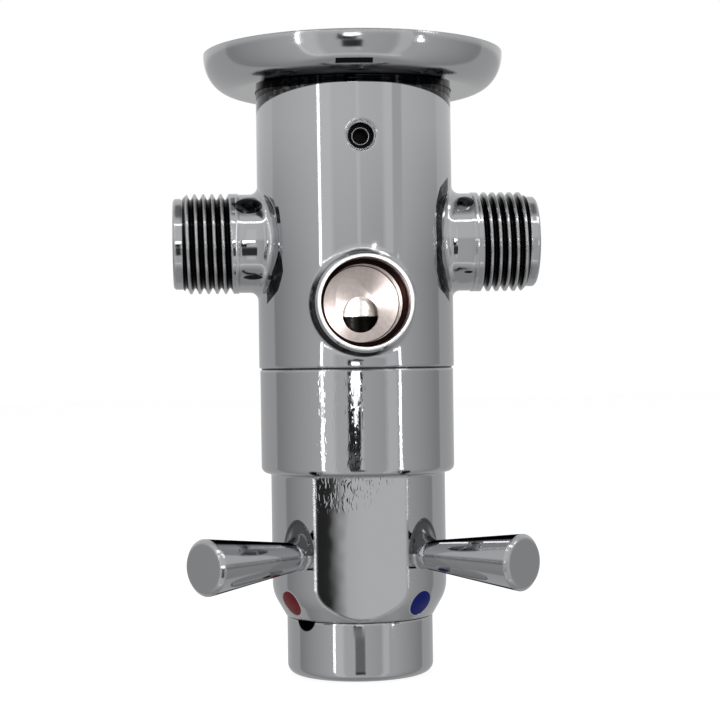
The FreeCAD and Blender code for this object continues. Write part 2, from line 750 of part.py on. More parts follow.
def thermostat():
    """The shuttle, the wax capsule that moves it, and the springs and nut that load them."""
    bore = "cavity_radius - sleeve_wall - running_fit"
    web_end = "shuttle_web_top + shuttle_web"
    shuttle = turned("shuttle_turned", [
        ("capsule_nose_radius + running_fit", "-shuttle_web_top"),
        (f"{bore} - shuttle_wall", "-shuttle_web_top"),
        (f"{bore} - shuttle_wall", "-shuttle_top"),
        (bore, "-shuttle_top"),
        (bore, "-shuttle_top - shuttle_length"),
        (f"{bore} - shuttle_wall", "-shuttle_top - shuttle_length"),
        (f"{bore} - shuttle_wall", f"-({web_end})"),
        ("capsule_nose_radius + running_fit", f"-({web_end})"),
    ])
    keep("shuttle", drilled_rings(shuttle, [("shuttle_hole_radius", "shuttle_hole_circle")], 6))

    shoulder = f"{web_end} + seat_gap"
    collar = f"{shoulder} + capsule_length"
    guide = f"{collar} + capsule_collar"
    tip = f"{guide} + capsule_guide"
    capsule = turned("capsule", [
        ("0", f"-({shoulder}) + capsule_nose"),
        ("capsule_nose_radius", f"-({shoulder}) + capsule_nose"),
        ("capsule_nose_radius", f"-({shoulder})"),
        ("capsule_radius", f"-({shoulder})"),
        ("capsule_radius", f"-({collar})"),
        ("capsule_collar_radius", f"-({collar})"),
        ("capsule_collar_radius", f"-({guide})"),
        ("capsule_guide_radius", f"-({guide})"),
        ("capsule_guide_radius", f"-({tip})"),
        ("piston_radius", f"-({tip})"),
        ("piston_radius", f"-({tip} + piston_length)"),
        ("0", f"-({tip} + piston_length)"),
    ])
    keep("wax_capsule", capsule)
    keep("return_spring", coil_spring("return_coil", "return_coil_radius", "return_wire_radius",
                                      "-shuttle_web_top + seat_gap", "-cavity_top - seat_gap", "return_coil_pitch"))

    cup = turned("cup", [
        ("piston_radius + running_fit", "-cup_top"),
        ("cup_radius", "-cup_top"),
        ("cup_radius", "-cup_collar_top"),
        ("cup_collar_radius", "-cup_collar_top"),
        ("cup_collar_radius", "-cup_collar_top - cup_collar"),
        ("cup_radius", "-cup_collar_top - cup_collar"),
        ("cup_radius", "-cup_top - cup_length"),
        ("0", "-cup_top - cup_length"),
        ("0", f"-({tip} + piston_length + seat_gap)"),
        ("piston_radius + running_fit", f"-({tip} + piston_length + seat_gap)"),
    ])
    keep("overload_cup", cup)
    keep("overload_spring", coil_spring("overload_coil", "overload_coil_radius", "overload_wire_radius",
                                        "-nut_top - nut_well + seat_gap", "-cup_collar_top - cup_collar - seat_gap",
                                        "overload_coil_pitch"))
    clip = turned("cup_clip", [
        ("cup_clip_inner", "-cup_collar_top + seat_gap"),
        ("nut_well_radius - running_fit", "-cup_collar_top + seat_gap"),
        ("nut_well_radius - running_fit", "-cup_collar_top + seat_gap + cup_clip_thickness"),
        ("cup_clip_inner", "-cup_collar_top + seat_gap + cup_clip_thickness"),
    ])
    keep("overload_clip", clip)

    nut_radius = "tube_radius - tube_wall - running_fit"
    nut = turned("nut", [
        ("nut_well_radius", "-nut_top"),
        (nut_radius, "-nut_top"),
        (nut_radius, "-nut_top - nut_length"),
        ("spindle_nose_radius + running_fit", "-nut_top - nut_length"),
        ("spindle_nose_radius + running_fit", "-nut_top - nut_well"),
        ("nut_well_radius", "-nut_top - nut_well"),
    ])
    pin_hole = rod("nut_pin_hole", "guide_pin_radius + running_fit", "tube_radius", -FRONT,
                   "0", "guide_pin_inner - seat_gap", "-guide_pin_depth")
    keep("drive_nut", cut("nut_cross_drilled", nut, [pin_hole]))
    pin = rod("nut_pin", "guide_pin_radius", "tube_radius - seat_gap - guide_pin_inner", -FRONT,
              "0", "guide_pin_inner", "-guide_pin_depth")
    keep("nut_guide_pin", pin)


def temperature_spindle():
    collar = "tube_radius - tube_wall - running_fit"
    groove_half = "(ring_section + ring_groove_play)"
    groove_root = f"{collar} - 2 * ring_section - running_fit"
    spindle = turned("spindle", [
        ("0", "-spindle_nose_top"),
        ("spindle_nose_radius", "-spindle_nose_top"),
        ("spindle_nose_radius", "-spindle_nose_end"),
        ("spindle_radius", "-spindle_nose_end"),
        ("spindle_radius", "-spindle_collar_top"),
        (collar, "-spindle_collar_top"),
        (collar, f"-spindle_ring_depth + {groove_half}"),
        (groove_root, f"-spindle_ring_depth + {groove_half}"),
        (groove_root, f"-spindle_ring_depth - {groove_half}"),
        (collar, f"-spindle_ring_depth - {groove_half}"),
        (collar, "-spindle_collar_end"),
        ("spindle_radius", "-spindle_collar_end"),
        ("spindle_radius", "-spindle_end"),
        ("0", "-spindle_end"),
    ])
    keep("temperature_spindle", spindle)
    seal_ring("spindle_o_ring", "ring_section", f"{groove_root} + running_fit / 2", "spindle_ring_depth")


def flow_tube():
    """A drum that opens and shuts the outlet port, on a tube that the lever turns."""
    drum = "cavity_radius - running_fit"
    inner = "tube_radius - tube_wall"
    clip_top = "web_end + seat_gap"
    tube = turned("tube", [
        (f"{drum} - drum_wall", "-drum_top"),
        (drum, "-drum_top"),
        (drum, "-drum_land_end"),
        ("drum_waist_radius", "-drum_land_end"),
        ("drum_waist_radius", "-drum_waist_end"),
        (drum, "-drum_waist_end"),
        (drum, "-drum_end"),
        ("tube_radius", "-drum_end"),
        ("tube_radius", f"-({clip_top})"),
        ("clip_root - running_fit", f"-({clip_top})"),
        ("clip_root - running_fit", f"-({clip_top} + clip_thickness)"),
        ("tube_radius", f"-({clip_top} + clip_thickness)"),
        ("tube_radius", "-tube_end"),
        ("spindle_radius + running_fit", "-tube_end"),
        ("spindle_radius + running_fit", "-tube_seat"),
        (inner, "-tube_seat"),
        (inner, "-drum_end + drum_floor"),
        (f"{drum} - drum_wall", "-drum_end + drum_floor"),
    ])
    window = rod("drum_window", "drum_window_radius", "cavity_radius", HOT,
                 "0", "0", "-(drum_top + drum_land_end) / 2")
    slot_low = "-guide_pin_depth - nut_travel - guide_pin_radius - 2 * seat_gap"
    slot_height = "2 * (nut_travel + guide_pin_radius + 2 * seat_gap)"
    slot = block("nut_slot", "2 * (guide_pin_radius + running_fit)", "tube_wall + 2", slot_height,
                 "-guide_pin_radius - running_fit", f"{inner} - 1", slot_low)
    keyway = block("tube_keyway", "key_width + 2 * running_fit", "tube_radius", "web_end - key_top",
                   "-key_width / 2 - running_fit", "key_inner - seat_gap", "-web_end")
    keep("flow_tube", cut("tube_machined", tube, [window, slot, keyway]))
    key = block("key", "key_width", "key_outer - key_inner", "web_end - key_top - 2 * seat_gap",
                "-key_width / 2", "key_inner", "-web_end + seat_gap")
    keep("lever_key", key)
    ring = turned("clip_ring", [
        ("clip_root", f"-({clip_top}) - running_fit"),
        ("clip_radius", f"-({clip_top}) - running_fit"),
        ("clip_radius", f"-({clip_top} + clip_thickness) + running_fit"),
        ("clip_root", f"-({clip_top} + clip_thickness) + running_fit"),
    ])
    gap = rod("clip_gap", "clip_radius + 1", "clip_thickness + 2", UP, "0", "0", f"-({clip_top} + clip_thickness + 1)")
    bind(gap, "Angle", "clip_opening")
    keep("barrel_circlip", cut("clip_open", ring, [gap]))


def bonnet():
    """The plug that closes the cavity, with a hexagon and a long neck for the lever barrel."""
    bore = "tube_radius + running_fit"
    groove_half = "(bonnet_ring_section + 2 * ring_groove_play)"
    groove_root = "mouth_radius - 2 * bonnet_ring_section - 2 * running_fit"
    neck_groove_half = "(ring_section + ring_groove_play)"
    neck_groove_root = "tube_radius + 2 * ring_section + 2 * running_fit"
    outline = [
        (bore, "-drum_end - 2 * seat_gap"),
        ("bonnet_nose_radius", "-drum_end - 2 * seat_gap"),
        ("bonnet_nose_radius", "mouth_rise - body_length - seat_gap"),
        ("bonnet_spigot_radius", "mouth_rise - body_length - seat_gap"),
        ("bonnet_spigot_radius", f"bonnet_ring_rise - body_length + {groove_half}"),
        (groove_root, f"bonnet_ring_rise - body_length + {groove_half}"),
        (groove_root, f"bonnet_ring_rise - body_length - {groove_half}"),
        ("bonnet_spigot_radius", f"bonnet_ring_rise - body_length - {groove_half}"),
        ("bonnet_spigot_radius", "1 - body_length - bonnet_hex_height"),
        ("neck_root_radius", "1 - body_length - bonnet_hex_height"),
        ("neck_root_radius", "-neck_root_end"),
        ("neck_radius", "-neck_root_end"),
        ("neck_radius", "-neck_step"),
        ("neck_tip_radius", "-neck_step"),
        ("neck_tip_radius", "-neck_end"),
        (bore, "-neck_end"),
        (bore, f"-neck_ring_depth - {neck_groove_half}"),
        (neck_groove_root, f"-neck_ring_depth - {neck_groove_half}"),
        (neck_groove_root, f"-neck_ring_depth + {neck_groove_half}"),
        (bore, f"-neck_ring_depth + {neck_groove_half}"),
    ]
    neck = turned("neck", outline)
    hex_flats = "2 * bonnet_hex_radius * cos(30 deg)"
    nut_head = hexagon("bonnet_hexagon", hex_flats, "bonnet_hex_height - seat_gap", UP,
                       "0", "0", "-(body_length + bonnet_hex_height)")
    hole = rod("bonnet_hex_hole", "bonnet_spigot_radius - 1", "body_length", UP, "0", "0",
               "-(body_length + bonnet_hex_height) - 1")
    collar = cut("bonnet_collar", nut_head, [hole])
    angle = math.radians(value("stop_pin_angle"))
    spot_x = f"stop_pin_circle * {math.cos(angle):.9f}"
    spot_y = f"stop_pin_circle * {math.sin(angle):.9f}"
    socket = rod("stop_pin_hole", "stop_pin_radius + running_fit", "stop_pin_root + 1", UP,
                 spot_x, spot_y, "-neck_end - 1")
    keep("bonnet", cut("bonnet_drilled", joined("bonnet_blank", [neck, collar]), [socket]))
    pin = rod("stop", "stop_pin_radius", "stop_pin_end - neck_end + stop_pin_root - seat_gap", UP,
              spot_x, spot_y, "-stop_pin_end")
    keep("stop_pin", pin)
    seal_ring("bonnet_o_ring", "bonnet_ring_section", f"{groove_root} + running_fit",
              "(body_length - bonnet_ring_rise)")
    seal_ring("neck_o_ring", "ring_section", "tube_radius + running_fit", "neck_ring_depth")
    rings = [
        ("bearing_ring_upper", "neck_radius", "barrel_bore_radius", "neck_root_end", "upper_ring_height"),
        ("bearing_ring_lower", "neck_tip_radius", "grip_bore_radius", "neck_step", "lower_ring_height"),
    ]
    for node, inside, outside, top, height in rings:
        ring = turned(f"{node}_turned", [
            (f"{inside} + running_fit", f"-{top} - seat_gap"),
            (f"{outside} - running_fit", f"-{top} - seat_gap"),
            (f"{outside} - running_fit", f"-{top} - {height}"),
            (f"{inside} + running_fit", f"-{top} - {height}"),
        ])
        keep(node, ring)


ARMS = {"left": "-lever_lean - arm_angle", "right": "-lever_lean + arm_angle"}


def barrel_blank():
    """The lever barrel before its holes and dots: a shell with a thick web inside and a flat in front."""
    top = "-(body_length + barrel_gap)"
    corner = "-rim_depth + (grip_radius - rim_radius) / tan(cone_angle * 1 deg)"
    tangent = "cone_blend * tan(cone_angle * 0.5 deg)"
    blend_top = f"{corner} + {tangent}"
    shell = turned("barrel", [
        ("barrel_bore_radius", top),
        ("barrel_radius - barrel_edge", top),
        ("barrel_radius", f"{top} - barrel_edge"),
        ("barrel_radius", "-ledge_depth + ledge_round"),
        ("barrel_radius - ledge_round", "-ledge_depth", "barrel_radius - ledge_round", "-ledge_depth + ledge_round"),
        ("grip_radius + ledge_hollow", "-ledge_depth"),
        ("grip_radius", "-ledge_depth - ledge_hollow", "grip_radius + ledge_hollow", "-ledge_depth - ledge_hollow"),
        ("grip_radius", blend_top),
        (f"grip_radius - {tangent} * sin(cone_angle * 1 deg)", f"{corner} - {tangent} * cos(cone_angle * 1 deg)",
         "grip_radius - cone_blend", blend_top),
        ("rim_radius", "-rim_depth"),
        ("knob_neck_radius + 2 * running_fit", "-rim_depth"),
        ("knob_neck_radius + 2 * running_fit", "-web_end"),
        ("tube_radius + running_fit", "-web_end"),
        ("tube_radius + running_fit", "-web_top"),
        ("grip_bore_radius", "-web_top"),
        ("grip_bore_radius", "-barrel_step"),
        ("barrel_bore_radius", "-barrel_step"),
    ])
    facing = around("-lever_lean")
    flat = doc.addObject("Part::Box", "grip_flat")
    bind(flat, "Length", "2 * barrel_radius")
    bind(flat, "Width", "barrel_radius")
    bind(flat, "Height", "rim_depth")
    flat.Placement.Rotation = FreeCAD.Rotation(UP, -value("lever_lean"))
    reach = "(flat_distance + barrel_radius)"
    bind(flat, "Placement.Base.x", f"{reach} * {facing.x:.9f} + barrel_radius * {facing.y:.9f}")
    bind(flat, "Placement.Base.y", f"{reach} * {facing.y:.9f} - barrel_radius * {facing.x:.9f}")
    bind(flat, "Placement.Base.z", "-ledge_depth - rim_depth")
    flatted = cut("barrel_flatted", shell, [flat])
    bosses = []
    for side, angle in ARMS.items():
        along = around(angle)
        bosses.append(rod(f"{side}_arm_boss", "arm_root_radius", "arm_root - grip_bore_radius", along,
                          f"grip_bore_radius * {along.x:.9f}", f"grip_bore_radius * {along.y:.9f}", "-arm_depth"))
    return joined("barrel_bossed", [flatted] + bosses)


def lever():
    """The lever barrel, its two arms and the two enamel dots let into its cone."""
    blank = barrel_blank()
    tools = [rod("barrel_bore", "grip_bore_radius", "web_top - barrel_step", UP, "0", "0", "-web_top")]
    for side, angle in ARMS.items():
        along = around(angle)
        tools.append(rod(f"{side}_stud_hole", "stud_radius + running_fit", "arm_root - stud_inner + 1", along,
                         f"(stud_inner - seat_gap) * {along.x:.9f}", f"(stud_inner - seat_gap) * {along.y:.9f}",
                         "-arm_depth"))
        arm = turned(f"{side}_arm", [
            ("0", "stud_inner"),
            ("stud_radius", "stud_inner"),
            ("stud_radius", "arm_root + seat_gap"),
            ("arm_root_radius", "arm_root + seat_gap"),
            ("arm_tip_radius", "arm_reach - arm_tip_edge"),
            ("arm_tip_radius - arm_tip_edge", "arm_reach"),
            ("0", "arm_reach"),
        ])
        aim(arm, along, z="-arm_depth")
        keep(f"lever_arm_{side}", arm)
    slope = math.radians(value("cone_angle"))
    surface = "(rim_radius + (rim_depth - dot_depth) * tan(cone_angle * 1 deg))"
    start = f"({surface} - dot_thickness / cos(cone_angle * 1 deg))"
    for colour, angle in (("hot", "-lever_lean - hot_dot_angle"), ("cold", "-lever_lean + cold_dot_angle")):
        level = around(angle)
        normal = FreeCAD.Vector(level.x * math.cos(slope), level.y * math.cos(slope), -math.sin(slope))
        plug = rod(f"{colour}_dot_plug", "dot_radius", "dot_thickness + dot_tool", normal,
                   f"{start} * {level.x:.9f}", f"{start} * {level.y:.9f}", "-dot_depth")
        dot = doc.addObject("Part::Common", f"{colour}_dot_inlay")
        dot.Base = blank
        dot.Tool = plug
        doc.recompute()
        keep(f"{colour}_dot", dot)
        tools.append(plug)
    groove_start = "stop_pin_angle - lever_swing - stop_groove_margin"
    outer = rod("stop_sweep_outer", "stop_pin_circle + stop_pin_radius + running_fit", "stop_groove_depth + 1", UP,
                "0", "0", "-web_top - stop_groove_depth")
    inner = rod("stop_sweep_inner", "stop_pin_circle - stop_pin_radius - running_fit", "stop_groove_depth + 3", UP,
                "0", "0", "-web_top - stop_groove_depth - 1")
    bind(outer, "Angle", "lever_swing + 2 * stop_groove_margin")
    outer.Placement.Rotation = FreeCAD.Rotation(UP, value(groove_start))
    tools.append(cut("stop_groove", outer, [inner]))
    tools.append(block("barrel_keyway", "key_width + 2 * running_fit", "key_outer + seat_gap", "web_end - key_top",
                       "-key_width / 2 - running_fit", "0", "-web_end"))
    keep("lever_barrel", cut("barrel_machined", blank, tools))


def end_knob():
    bore = "spindle_radius + running_fit"
    knob = turned("knob", [
        (bore, "-knob_well_floor"),
        ("knob_well_radius", "-knob_well_floor"),
        ("knob_well_radius", "-knob_top"),
        ("knob_neck_radius", "-knob_top"),
        ("knob_neck_radius", "-rim_depth - knob_gap"),
        ("knob_radius", "-rim_depth - knob_gap"),
        ("knob_radius", "-knob_end + knob_round"),
        ("knob_radius - knob_round", "-knob_end", "knob_radius - knob_round", "-knob_end + knob_round"),
        ("0", "-knob_end"),
        ("0", "-knob_bore_end"),
        (bore, "-knob_bore_end"),
    ])
    along = around("-knob_screw_angle")
    hole = rod("knob_screw_hole", "knob_screw_radius + running_fit", "knob_radius", along,
               f"spindle_radius * {along.x:.9f}", f"spindle_radius * {along.y:.9f}", "-knob_screw_depth")
    keep("end_knob", cut("knob_drilled", knob, [hole]))
    grub_screw("knob_grub_screw", "knob_screw_radius", "knob_screw_length", "knob_screw_key",
               "knob_screw_key_depth", along, "spindle_radius + 2 * seat_gap + knob_screw_length", "knob_screw_depth")
    washer = turned("washer", [
        ("spindle_radius + running_fit", "-tube_end - seat_gap"),
        ("washer_radius", "-tube_end - seat_gap"),
        ("washer_radius", "-knob_well_floor + seat_gap"),
        ("spindle_radius + running_fit", "-knob_well_floor + seat_gap"),
    ])
    keep("spindle_washer", washer)


wall_flange()
valve_body()
for inlet_side, inlet_direction in (("hot", HOT), ("cold", COLD)):
    inlet_fittings(inlet_side, inlet_direction)
port_sleeve()
thermostat()
temperature_spindle()
flow_tube()
bonnet()
lever()
end_knob()
doc.recompute()

failed = [item.Name for item in doc.Objects if "Invalid" in item.State or "Error" in item.State]
if failed:
    raise RuntimeError(f"not computed: {', '.join(failed)}")
os.makedirs("parts", exist_ok=True)
for node, item in NODES.items():
    if item.Shape.isNull() or not item.Shape.isValid() or not item.Shape.Solids:
        raise RuntimeError(f"{node} has no valid solid")
    item.Shape.exportStep(f"parts/{node}.step")
print(f"{len(NODES)} sub-parts written")
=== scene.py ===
# %% [markdown]
# # Thermostatic mixing valve
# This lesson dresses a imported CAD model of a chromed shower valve. The CAD solids already hold
# the exact shapes, so the work here is the finishing: real metals and enamels, the small edges and
# marks that a polisher and a lathe leave, and a studio that chrome can reflect.
# The frame is the CAD's own: metres, +Z up into the wall, and the front of the valve along -Y.

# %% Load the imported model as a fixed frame
import json
import math
from types import SimpleNamespace

import bpy
from mathutils import Matrix, Vector


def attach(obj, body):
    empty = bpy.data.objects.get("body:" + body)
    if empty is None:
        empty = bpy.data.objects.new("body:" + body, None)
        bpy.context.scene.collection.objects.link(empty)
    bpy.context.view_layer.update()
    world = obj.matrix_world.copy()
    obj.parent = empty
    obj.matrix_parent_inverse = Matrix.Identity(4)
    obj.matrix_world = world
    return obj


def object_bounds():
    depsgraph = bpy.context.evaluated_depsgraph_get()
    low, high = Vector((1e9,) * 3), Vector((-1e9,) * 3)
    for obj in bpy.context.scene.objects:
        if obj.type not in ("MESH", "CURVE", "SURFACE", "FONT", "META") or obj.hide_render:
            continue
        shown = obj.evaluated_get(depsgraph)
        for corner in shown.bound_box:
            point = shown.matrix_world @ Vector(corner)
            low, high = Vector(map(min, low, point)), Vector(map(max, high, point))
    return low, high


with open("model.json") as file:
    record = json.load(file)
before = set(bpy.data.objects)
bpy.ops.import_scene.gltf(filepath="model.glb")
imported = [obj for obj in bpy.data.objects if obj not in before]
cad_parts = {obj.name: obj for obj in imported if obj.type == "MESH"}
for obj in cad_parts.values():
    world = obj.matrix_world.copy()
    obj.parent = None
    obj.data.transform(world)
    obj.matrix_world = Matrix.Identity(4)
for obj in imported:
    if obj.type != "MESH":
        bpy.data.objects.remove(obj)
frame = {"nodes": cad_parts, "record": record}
nodes = frame["nodes"]
cad_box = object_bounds()

# %% [markdown]
# ## Colours and nodes
# Colours are picked as sRGB hex, but shaders work in linear light, so one function turns
# one into the other. Another adds a node with its settings and its links, which keeps each material
# as short as the description of its finish. Many finishes change from place to place. They do it
# with masks, which are 1 where a mark is and 0 elsewhere.

# %% Helpers
MM = 0.001


def colour(hex_code):
    """A linear RGBA colour from an sRGB hex code."""
    channels = [int(hex_code[i:i + 2], 16) / 255 for i in (0, 2, 4)]
    linear = [c / 12.92 if c <= 0.04045 else ((c + 0.055) / 1.055) ** 2.4 for c in channels]
    return (*linear, 1.0)


def fill(tree, node, inputs):
    """Fill a node's inputs, listed in socket order or named in a dict, with values or with links.

    A link comes from a socket or from a node, which then gives its first live output.
    """
    for socket, source in inputs.items() if isinstance(inputs, dict) else enumerate(inputs):
        if isinstance(source, bpy.types.Node):
            source = next(output for output in source.outputs if output.enabled)
        if isinstance(source, bpy.types.NodeSocket):
            tree.links.new(source, node.inputs[socket])
        else:
            node.inputs[socket].default_value = source


def add(tree, kind, inputs=(), **settings):
    """A node with its settings and its inputs."""
    node = tree.nodes.new("ShaderNode" + kind)
    for name, setting in settings.items():
        setattr(node, name, setting)
    fill(tree, node, inputs)
    return node


def new_material(name):
    """An empty material: its node tree, its shader and its object coordinates."""
    material = bpy.data.materials.new(name)
    material.use_nodes = True
    tree = material.node_tree
    place = add(tree, "TexCoord").outputs["Object"]
    return material, tree, tree.nodes["Principled BSDF"], place


def measures(tree):
    """A material's object coordinates: the whole place, and its x, y and z."""
    place = tree.nodes["Texture Coordinate"].outputs["Object"]
    spot = add(tree, "SeparateXYZ", [place])
    return SimpleNamespace(place=place, x=spot.outputs["X"], y=spot.outputs["Y"], z=spot.outputs["Z"])


def radius_from(tree, first, second):
    """The distance from an axis, from the two coordinates across it."""
    across = add(tree, "CombineXYZ", [first, second])
    return add(tree, "VectorMath", [across], operation="LENGTH")


def all_of(tree, *masks):
    """The product of masks, which is 1 where every one is 1. A plain number weakens the whole."""
    joined = masks[0]
    for mask in masks[1:]:
        joined = add(tree, "Math", [joined, mask], operation="MULTIPLY")
    return joined


def any_of(tree, *masks):
    """The largest of masks, which is 1 where at least one is 1."""
    joined = masks[0]
    for mask in masks[1:]:
        joined = add(tree, "Math", [joined, mask], operation="MAXIMUM")
    return joined


# %% [markdown]
# ## Chrome plate
# Nickel and chrome over polished brass. The plate is a mirror, so its look is almost wholly what
# it reflects. Three things make it real. The polishing wheel rounds every edge by under a
# millimetre, so an edge squeezes the whole room into one bright or dark line. Buffing leaves a very
# slight waviness, a few millimetres long, which bends straight reflections a little. Handling
# leaves a faint haze that changes the roughness from place to place.

# %% Polished chrome
PLATE_GREY = "B9BABC"
POLISHED_HAZE = 0.022
BUFFED_EDGE = 0.8 * MM
WAVE_HEIGHT = 0.006 * MM
WAVE_LENGTH = 6 * MM
CLOUD_WIDTH = 9 * MM


def chrome_plate(name, hex_code=PLATE_GREY, haze=POLISHED_HAZE):
    material, tree, shader, place = new_material(name)
    cloud = add(tree, "TexNoise", {"Vector": place, "Scale": 1 / CLOUD_WIDTH, "Detail": 3.0})
    rough = add(tree, "MapRange", {"Value": cloud, "To Min": haze * 0.6, "To Max": haze * 1.5})
    wave = add(tree, "TexNoise", {"Vector": place, "Scale": 1 / WAVE_LENGTH, "Detail": 1.0})
    buffed = add(tree, "Bevel", {"Radius": BUFFED_EDGE}, samples=6)
    bump = add(tree, "Bump", {"Height": wave, "Strength": 1.0, "Distance": WAVE_HEIGHT, "Normal": buffed})
    fill(tree, shader, {"Base Color": colour(hex_code), "Metallic": 1.0, "Roughness": rough, "Normal": bump})
    return material


CHROME = chrome_plate("polished_chrome_plate")
# The flares lie in the corner over the arms, so their chrome is painted a darker grey: painted shade and a
# painted reflection of the arms' dark tops.
SHADED_CHROME = chrome_plate("polished_chrome_with_painted_arm_shade", "505153")
print("made", CHROME.name, "and", SHADED_CHROME.name)

# %% [markdown]
# ## The valve body: bare brass in its bores
# The plating bath hardly reaches into the bores, and the outlet is machined after plating. So its
# floor shows pinkish brass with the rings that a boring tool leaves, and its walls carry painted shade,
# a dark brown. The masks find these places by each point's distance from the axis of the outlet, of an
# inlet or of the body. A boring tool's rings are about 0.15 mm apart. They are drawn at 0.42 mm, so
# that they show.

# %% Bare brass
OUTLET_DEPTH = 52.9 * MM
INLET_DEPTH = 39.5 * MM
OUTLET_BORE = 8.86 * MM
OUTLET_END = -10.4 * MM
OUTLET_WALL = (7.72 * MM, 7.80 * MM)
INLET_BORE = 7.66 * MM
INLET_END = 10.6 * MM
CORE_BORE = 14.1 * MM
RING_PITCH = 0.42 * MM
RING_HEIGHT = 0.004 * MM


def body_measures(tree):
    """Where a point of the valve body is, from its outlet, its inlets and its own axis."""
    at = measures(tree)
    at.out = add(tree, "Math", [at.x], operation="ABSOLUTE")
    at.over_outlet = add(tree, "Math", [at.z, OUTLET_DEPTH], operation="ADD")
    at.over_inlet = add(tree, "Math", [at.z, INLET_DEPTH], operation="ADD")
    at.from_outlet = radius_from(tree, at.x, at.over_outlet)
    at.from_inlet = radius_from(tree, at.y, at.over_inlet)
    at.in_front = add(tree, "Math", [at.y, 0.0], operation="LESS_THAN")
    return at


def bare_places(tree, at):
    """The outlet's mask, and the mask of all bores together."""
    outlet = all_of(tree, add(tree, "Math", [at.from_outlet, OUTLET_BORE], operation="LESS_THAN"),
                    add(tree, "Math", [at.y, OUTLET_END], operation="LESS_THAN"))
    inlets = all_of(tree, add(tree, "Math", [at.from_inlet, INLET_BORE], operation="LESS_THAN"),
                    add(tree, "Math", [at.out, INLET_END], operation="GREATER_THAN"))
    core = add(tree, "Math", [radius_from(tree, at.x, at.y), CORE_BORE], operation="LESS_THAN")
    return outlet, any_of(tree, outlet, inlets, core)


def bored_brass(tree, at, in_outlet):
    """The shader of the bores. Light spreads across the tool's rings, in spokes from the axis."""
    tarnish = add(tree, "TexNoise", {"Vector": at.place, "Scale": 1 / (0.9 * MM), "Detail": 6.0})
    # Painted shade: the outlet's wall is coloured dark brown.
    wall_shade = add(tree, "MapRange", {"Value": at.from_outlet, "From Min": OUTLET_WALL[0],
                                       "From Max": OUTLET_WALL[1]})
    tint = add(tree, "Mix", {"Factor": tarnish, "A": colour("DCCBC5"), "B": colour("FFF4EF")},
               data_type="RGBA")
    tint = add(tree, "Mix", {"Factor": all_of(tree, wall_shade, in_outlet), "A": tint,
                             "B": colour("1F120F")}, data_type="RGBA")
    turns = add(tree, "Math", [at.from_outlet, math.tau / RING_PITCH], operation="MULTIPLY")
    rings = add(tree, "Math", [turns], operation="SINE")
    marks = add(tree, "Bump", {"Height": rings, "Strength": 1.0, "Distance": RING_HEIGHT})
    spoke = add(tree, "CombineXYZ", {"X": at.x, "Z": at.over_outlet})
    outward = add(tree, "VectorMath", [spoke], operation="NORMALIZE")
    return add(tree, "BsdfPrincipled", {"Base Color": tint, "Metallic": 1.0, "Anisotropic": 0.95,
                                        "Roughness": 0.36, "Normal": marks, "Tangent": outward})


# %% [markdown]
# ## The valve body: painted shade and painted dark reflections
# The thread valleys carry painted shade. Painted dark reflections lie in the grooves at the roots of
# the inlets and of the outlet's boss, and painted shade lies round the grub screw. The shanks carry
# painted dark reflections in narrow ovals, and the top of the column a painted reflection of the
# flange's dip. The outlet's rim is turned after plating and satin, its near-white colour a painted
# highlight.

# %% Painted shade and dark reflections on the body
RIM_FACE = -26.4 * MM
THREAD_START = 24.6 * MM
THREAD_END = 36.1 * MM
SHANK_RADIUS = 10.9 * MM
SCREW_DEPTH = 19.3 * MM
SHORT_MARK = 0.35 * MM
# Each oval: its middle from the body's axis and from the inlets' axis, and its half sizes, in mm.
SHANK_OVALS = ((-22.5, 7.3, 2.9, 1.7), (-21.7, -7.4, 2.0, 0.45), (22.8, 8.0, 1.7, 1.2),
               (23.0, -6.75, 0.9, 0.25))


def outlet_rim(tree, at):
    # Painted highlight: the turned satin rim is coloured near white.
    inner = add(tree, "MapRange", {"Value": at.from_outlet, "From Min": 8.84 * MM, "From Max": 8.88 * MM})
    outer = add(tree, "MapRange", {"Value": at.from_outlet, "From Min": 9.62 * MM, "From Max": 9.5 * MM})
    return all_of(tree, inner, outer, add(tree, "Math", [at.y, RIM_FACE], operation="LESS_THAN"))


def thread_valleys(tree, at):
    # Painted shade: the thread valleys are coloured near black.
    deep = add(tree, "MapRange", {"Value": at.from_inlet, "From Min": 10.25 * MM, "From Max": 9.95 * MM})
    return all_of(tree, deep, add(tree, "Math", [at.out, THREAD_START], operation="GREATER_THAN"),
                  add(tree, "Math", [at.out, THREAD_END], operation="LESS_THAN"))


